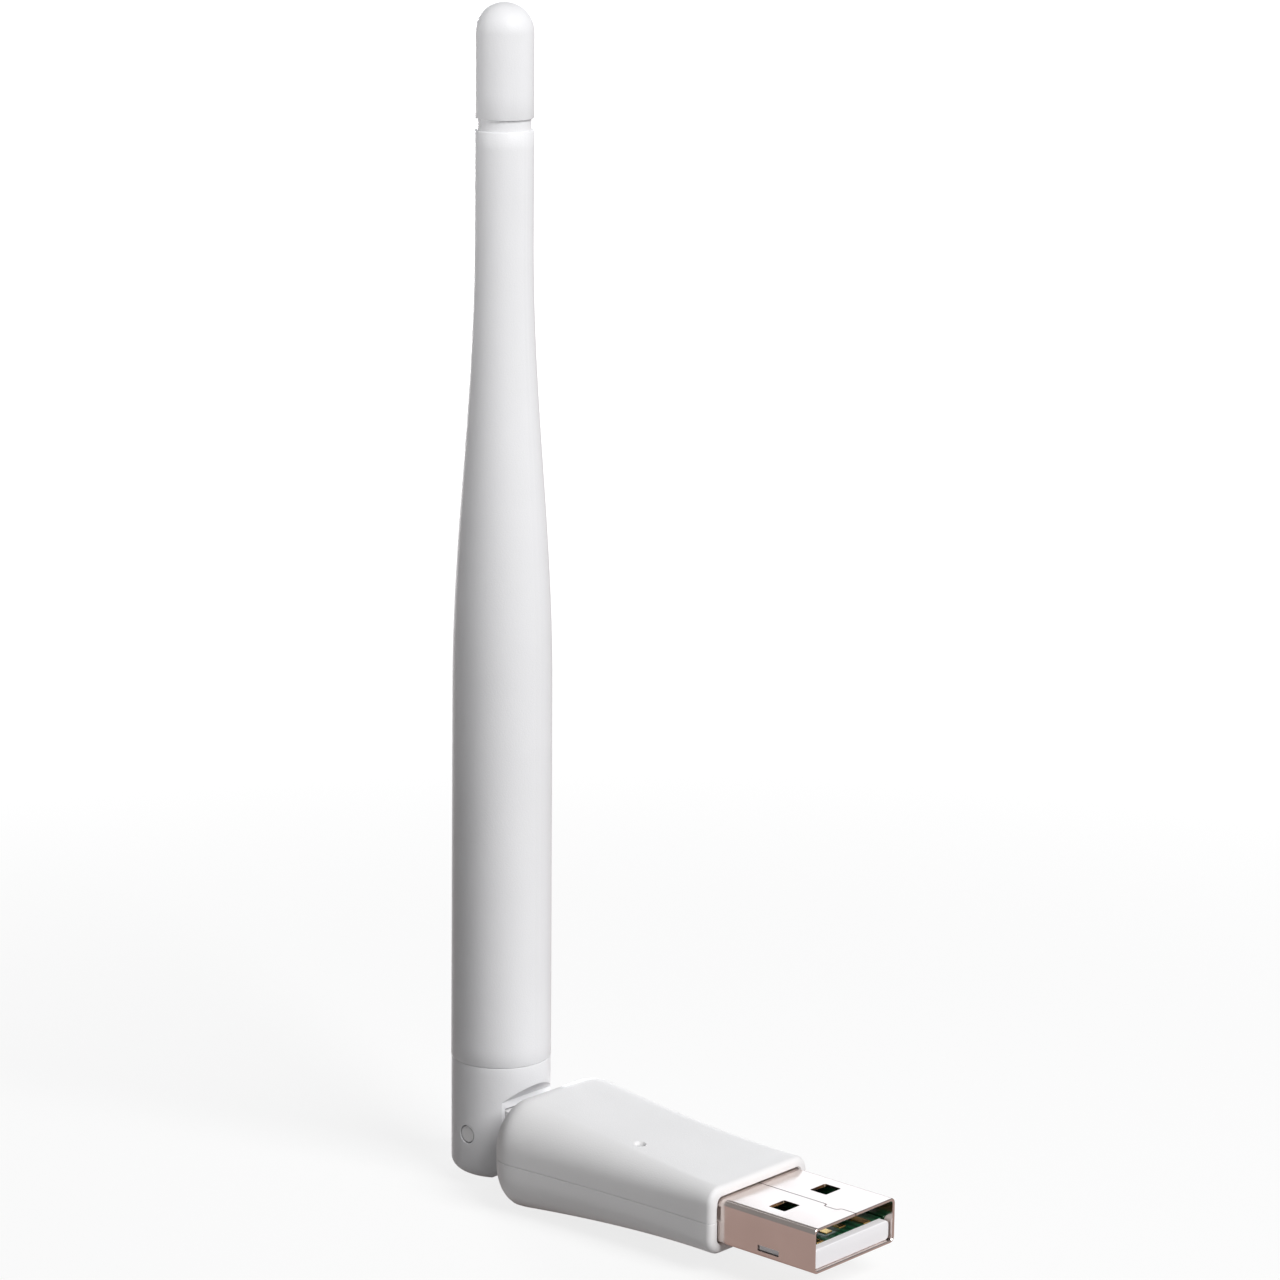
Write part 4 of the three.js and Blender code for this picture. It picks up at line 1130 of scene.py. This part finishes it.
hinge_lead_piece = hinge_lead()
finish_piece(hinge_lead_piece, "swivel", "lead_jacket", "coax_swivel_lead")

# %% [markdown]
# ## Floor and light
# A pale floor fills the view. For the camera it is partly self-lit, so that it reads as white and still
# takes the adapter's soft shadow. In reflections the floor is dimmer and shows a painted warm tint, a painted
# reflection colour that it has only for glossy rays and that tints the plug's steel, and the surroundings are
# dimmer than the camera sees them. The key lamp stands high in front of the plug. One lamp is low behind the
# adapter, and a wide, slightly blue one is above it. Two narrow, weak lamps on the left are aimed at the antenna's
# tip and at the lower front of the housing.

# %% Floor
FLOOR_WHITE = (0.42, 0.42, 0.42)
GLOW_LEVEL = 1.3
GLOW_NEAR = 0.62
GLOW_FAR = 0.97
GLOW_REFLECTED = 0.55
# Painted reflection colour: the floor shows this warm tint only to glossy rays, so the plug's steel reflects it.
PAINTED_WARM_REFLECTION = (0.46, 0.31, 0.27)
NEAR = 0.08
FAR = 0.45


def make_floor():
    bpy.ops.object.select_all(action="DESELECT")
    bpy.ops.mesh.primitive_plane_add(size=12, location=(0, 0, cad_low.z))
    floor = bpy.context.object
    floor.name = "floor"
    material, tree, shader = new_material("floor_paper", FLOOR_WHITE, 0.9)
    shader.inputs["Specular IOR Level"].default_value = 0.0
    add_tint(tree, shader, add_noise(tree, 40), shade(FLOOR_WHITE, 0.995), FLOOR_WHITE)
    glow = tree.nodes.new("ShaderNodeEmission")
    glow.inputs["Strength"].default_value = GLOW_LEVEL
    painted_reflection_tint = tree.nodes.new("ShaderNodeMix")
    painted_reflection_tint.data_type = "RGBA"
    painted_reflection_tint.inputs["A"].default_value = (1, 1, 1, 1)
    painted_reflection_tint.inputs["B"].default_value = (*PAINTED_WARM_REFLECTION, 1)
    path = tree.nodes.new("ShaderNodeLightPath")
    place = tree.nodes.new("ShaderNodeTexCoord")
    distance = tree.nodes.new("ShaderNodeVectorMath")
    distance.operation = "LENGTH"
    spread = tree.nodes.new("ShaderNodeMapRange")
    spread.interpolation_type = "SMOOTHSTEP"
    spread.inputs["From Min"].default_value = NEAR
    spread.inputs["From Max"].default_value = FAR
    spread.inputs["To Min"].default_value = GLOW_NEAR
    spread.inputs["To Max"].default_value = GLOW_FAR
    share = tree.nodes.new("ShaderNodeMath")
    share.operation = "MULTIPLY"
    reflected = tree.nodes.new("ShaderNodeMath")
    reflected.operation = "MULTIPLY"
    reflected.inputs[1].default_value = GLOW_REFLECTED
    total = tree.nodes.new("ShaderNodeMath")
    total.operation = "MAXIMUM"
    mix = tree.nodes.new("ShaderNodeMixShader")
    tree.links.new(place.outputs["Object"], distance.inputs[0])
    tree.links.new(distance.outputs["Value"], spread.inputs["Value"])
    tree.links.new(path.outputs["Is Camera Ray"], share.inputs[0])
    tree.links.new(spread.outputs["Result"], share.inputs[1])
    tree.links.new(path.outputs["Is Glossy Ray"], reflected.inputs[0])
    tree.links.new(share.outputs[0], total.inputs[0])
    tree.links.new(reflected.outputs[0], total.inputs[1])
    tree.links.new(total.outputs[0], mix.inputs[0])
    tree.links.new(shader.outputs["BSDF"], mix.inputs[1])
    tree.links.new(glow.outputs["Emission"], mix.inputs[2])
    tree.links.new(path.outputs["Is Glossy Ray"], painted_reflection_tint.inputs["Factor"])
    tree.links.new(painted_reflection_tint.outputs["Result"], glow.inputs["Color"])
    tree.links.new(mix.outputs["Shader"], tree.nodes["Material Output"].inputs["Surface"])
    floor.data.materials.append(material)


make_floor()

# %% Lamps and surroundings


def make_lamp(name, place, aim, size, power):
    data = bpy.data.lights.new(name, "AREA")
    data.shape = "RECTANGLE"
    data.size, data.size_y = size
    data.energy = power
    lamp = bpy.data.objects.new(name, data)
    bpy.context.collection.objects.link(lamp)
    lamp.location = place
    lamp.rotation_mode = "QUATERNION"
    lamp.rotation_quaternion = (Vector(aim) - Vector(place)).to_track_quat("-Z", "Y")
    return lamp


AIM = (0, 0, 0.05)
TIP_PLACE = (hinge.x, 0, 0.128)
make_lamp("key", (0.62, -0.035, 0.62), AIM, (0.45, 0.45), 8.2)
make_lamp("back_left", (-0.66, 0.36, 0.07), AIM, (0.16, 0.12), 8.0)
back = make_lamp("back", (-0.6, 0.675, 0.28), (0, 0, 0.01), (0.7, 0.36), 1.12)
back.data.color = (0.86, 0.93, 1.0)
upper_left = make_lamp("upper_left", (-0.19, -0.39, 0.15), TIP_PLACE, (0.1, 0.05), 0.017)
upper_left.data.spread = math.radians(24)
low_left = make_lamp("low_left", (0.028, -0.5, 0.03), (0.008, 0, 0.003), (0.045, 0.003), 0.00009)
low_left.data.spread = math.radians(4)

WORLD_LEVEL = 0.12
WORLD_MIRRORED = 0.22
world = bpy.data.worlds.new("surroundings")
bpy.context.scene.world = world
world.use_nodes = True
world.node_tree.nodes["Background"].inputs["Color"].default_value = (1, 1, 1, 1)
path = world.node_tree.nodes.new("ShaderNodeLightPath")
mirrored = world.node_tree.nodes.new("ShaderNodeMath")
mirrored.operation = "MULTIPLY"
mirrored.inputs[1].default_value = WORLD_MIRRORED
either = world.node_tree.nodes.new("ShaderNodeMath")
either.operation = "MAXIMUM"
level = world.node_tree.nodes.new("ShaderNodeMapRange")
level.inputs["To Min"].default_value = WORLD_LEVEL
level.inputs["To Max"].default_value = 1.0
world.node_tree.links.new(path.outputs["Is Glossy Ray"], mirrored.inputs[0])
world.node_tree.links.new(path.outputs["Is Camera Ray"], either.inputs[0])
world.node_tree.links.new(mirrored.outputs[0], either.inputs[1])
world.node_tree.links.new(either.outputs[0], level.inputs["Value"])
world.node_tree.links.new(level.outputs["Result"], world.node_tree.nodes["Background"].inputs["Strength"])
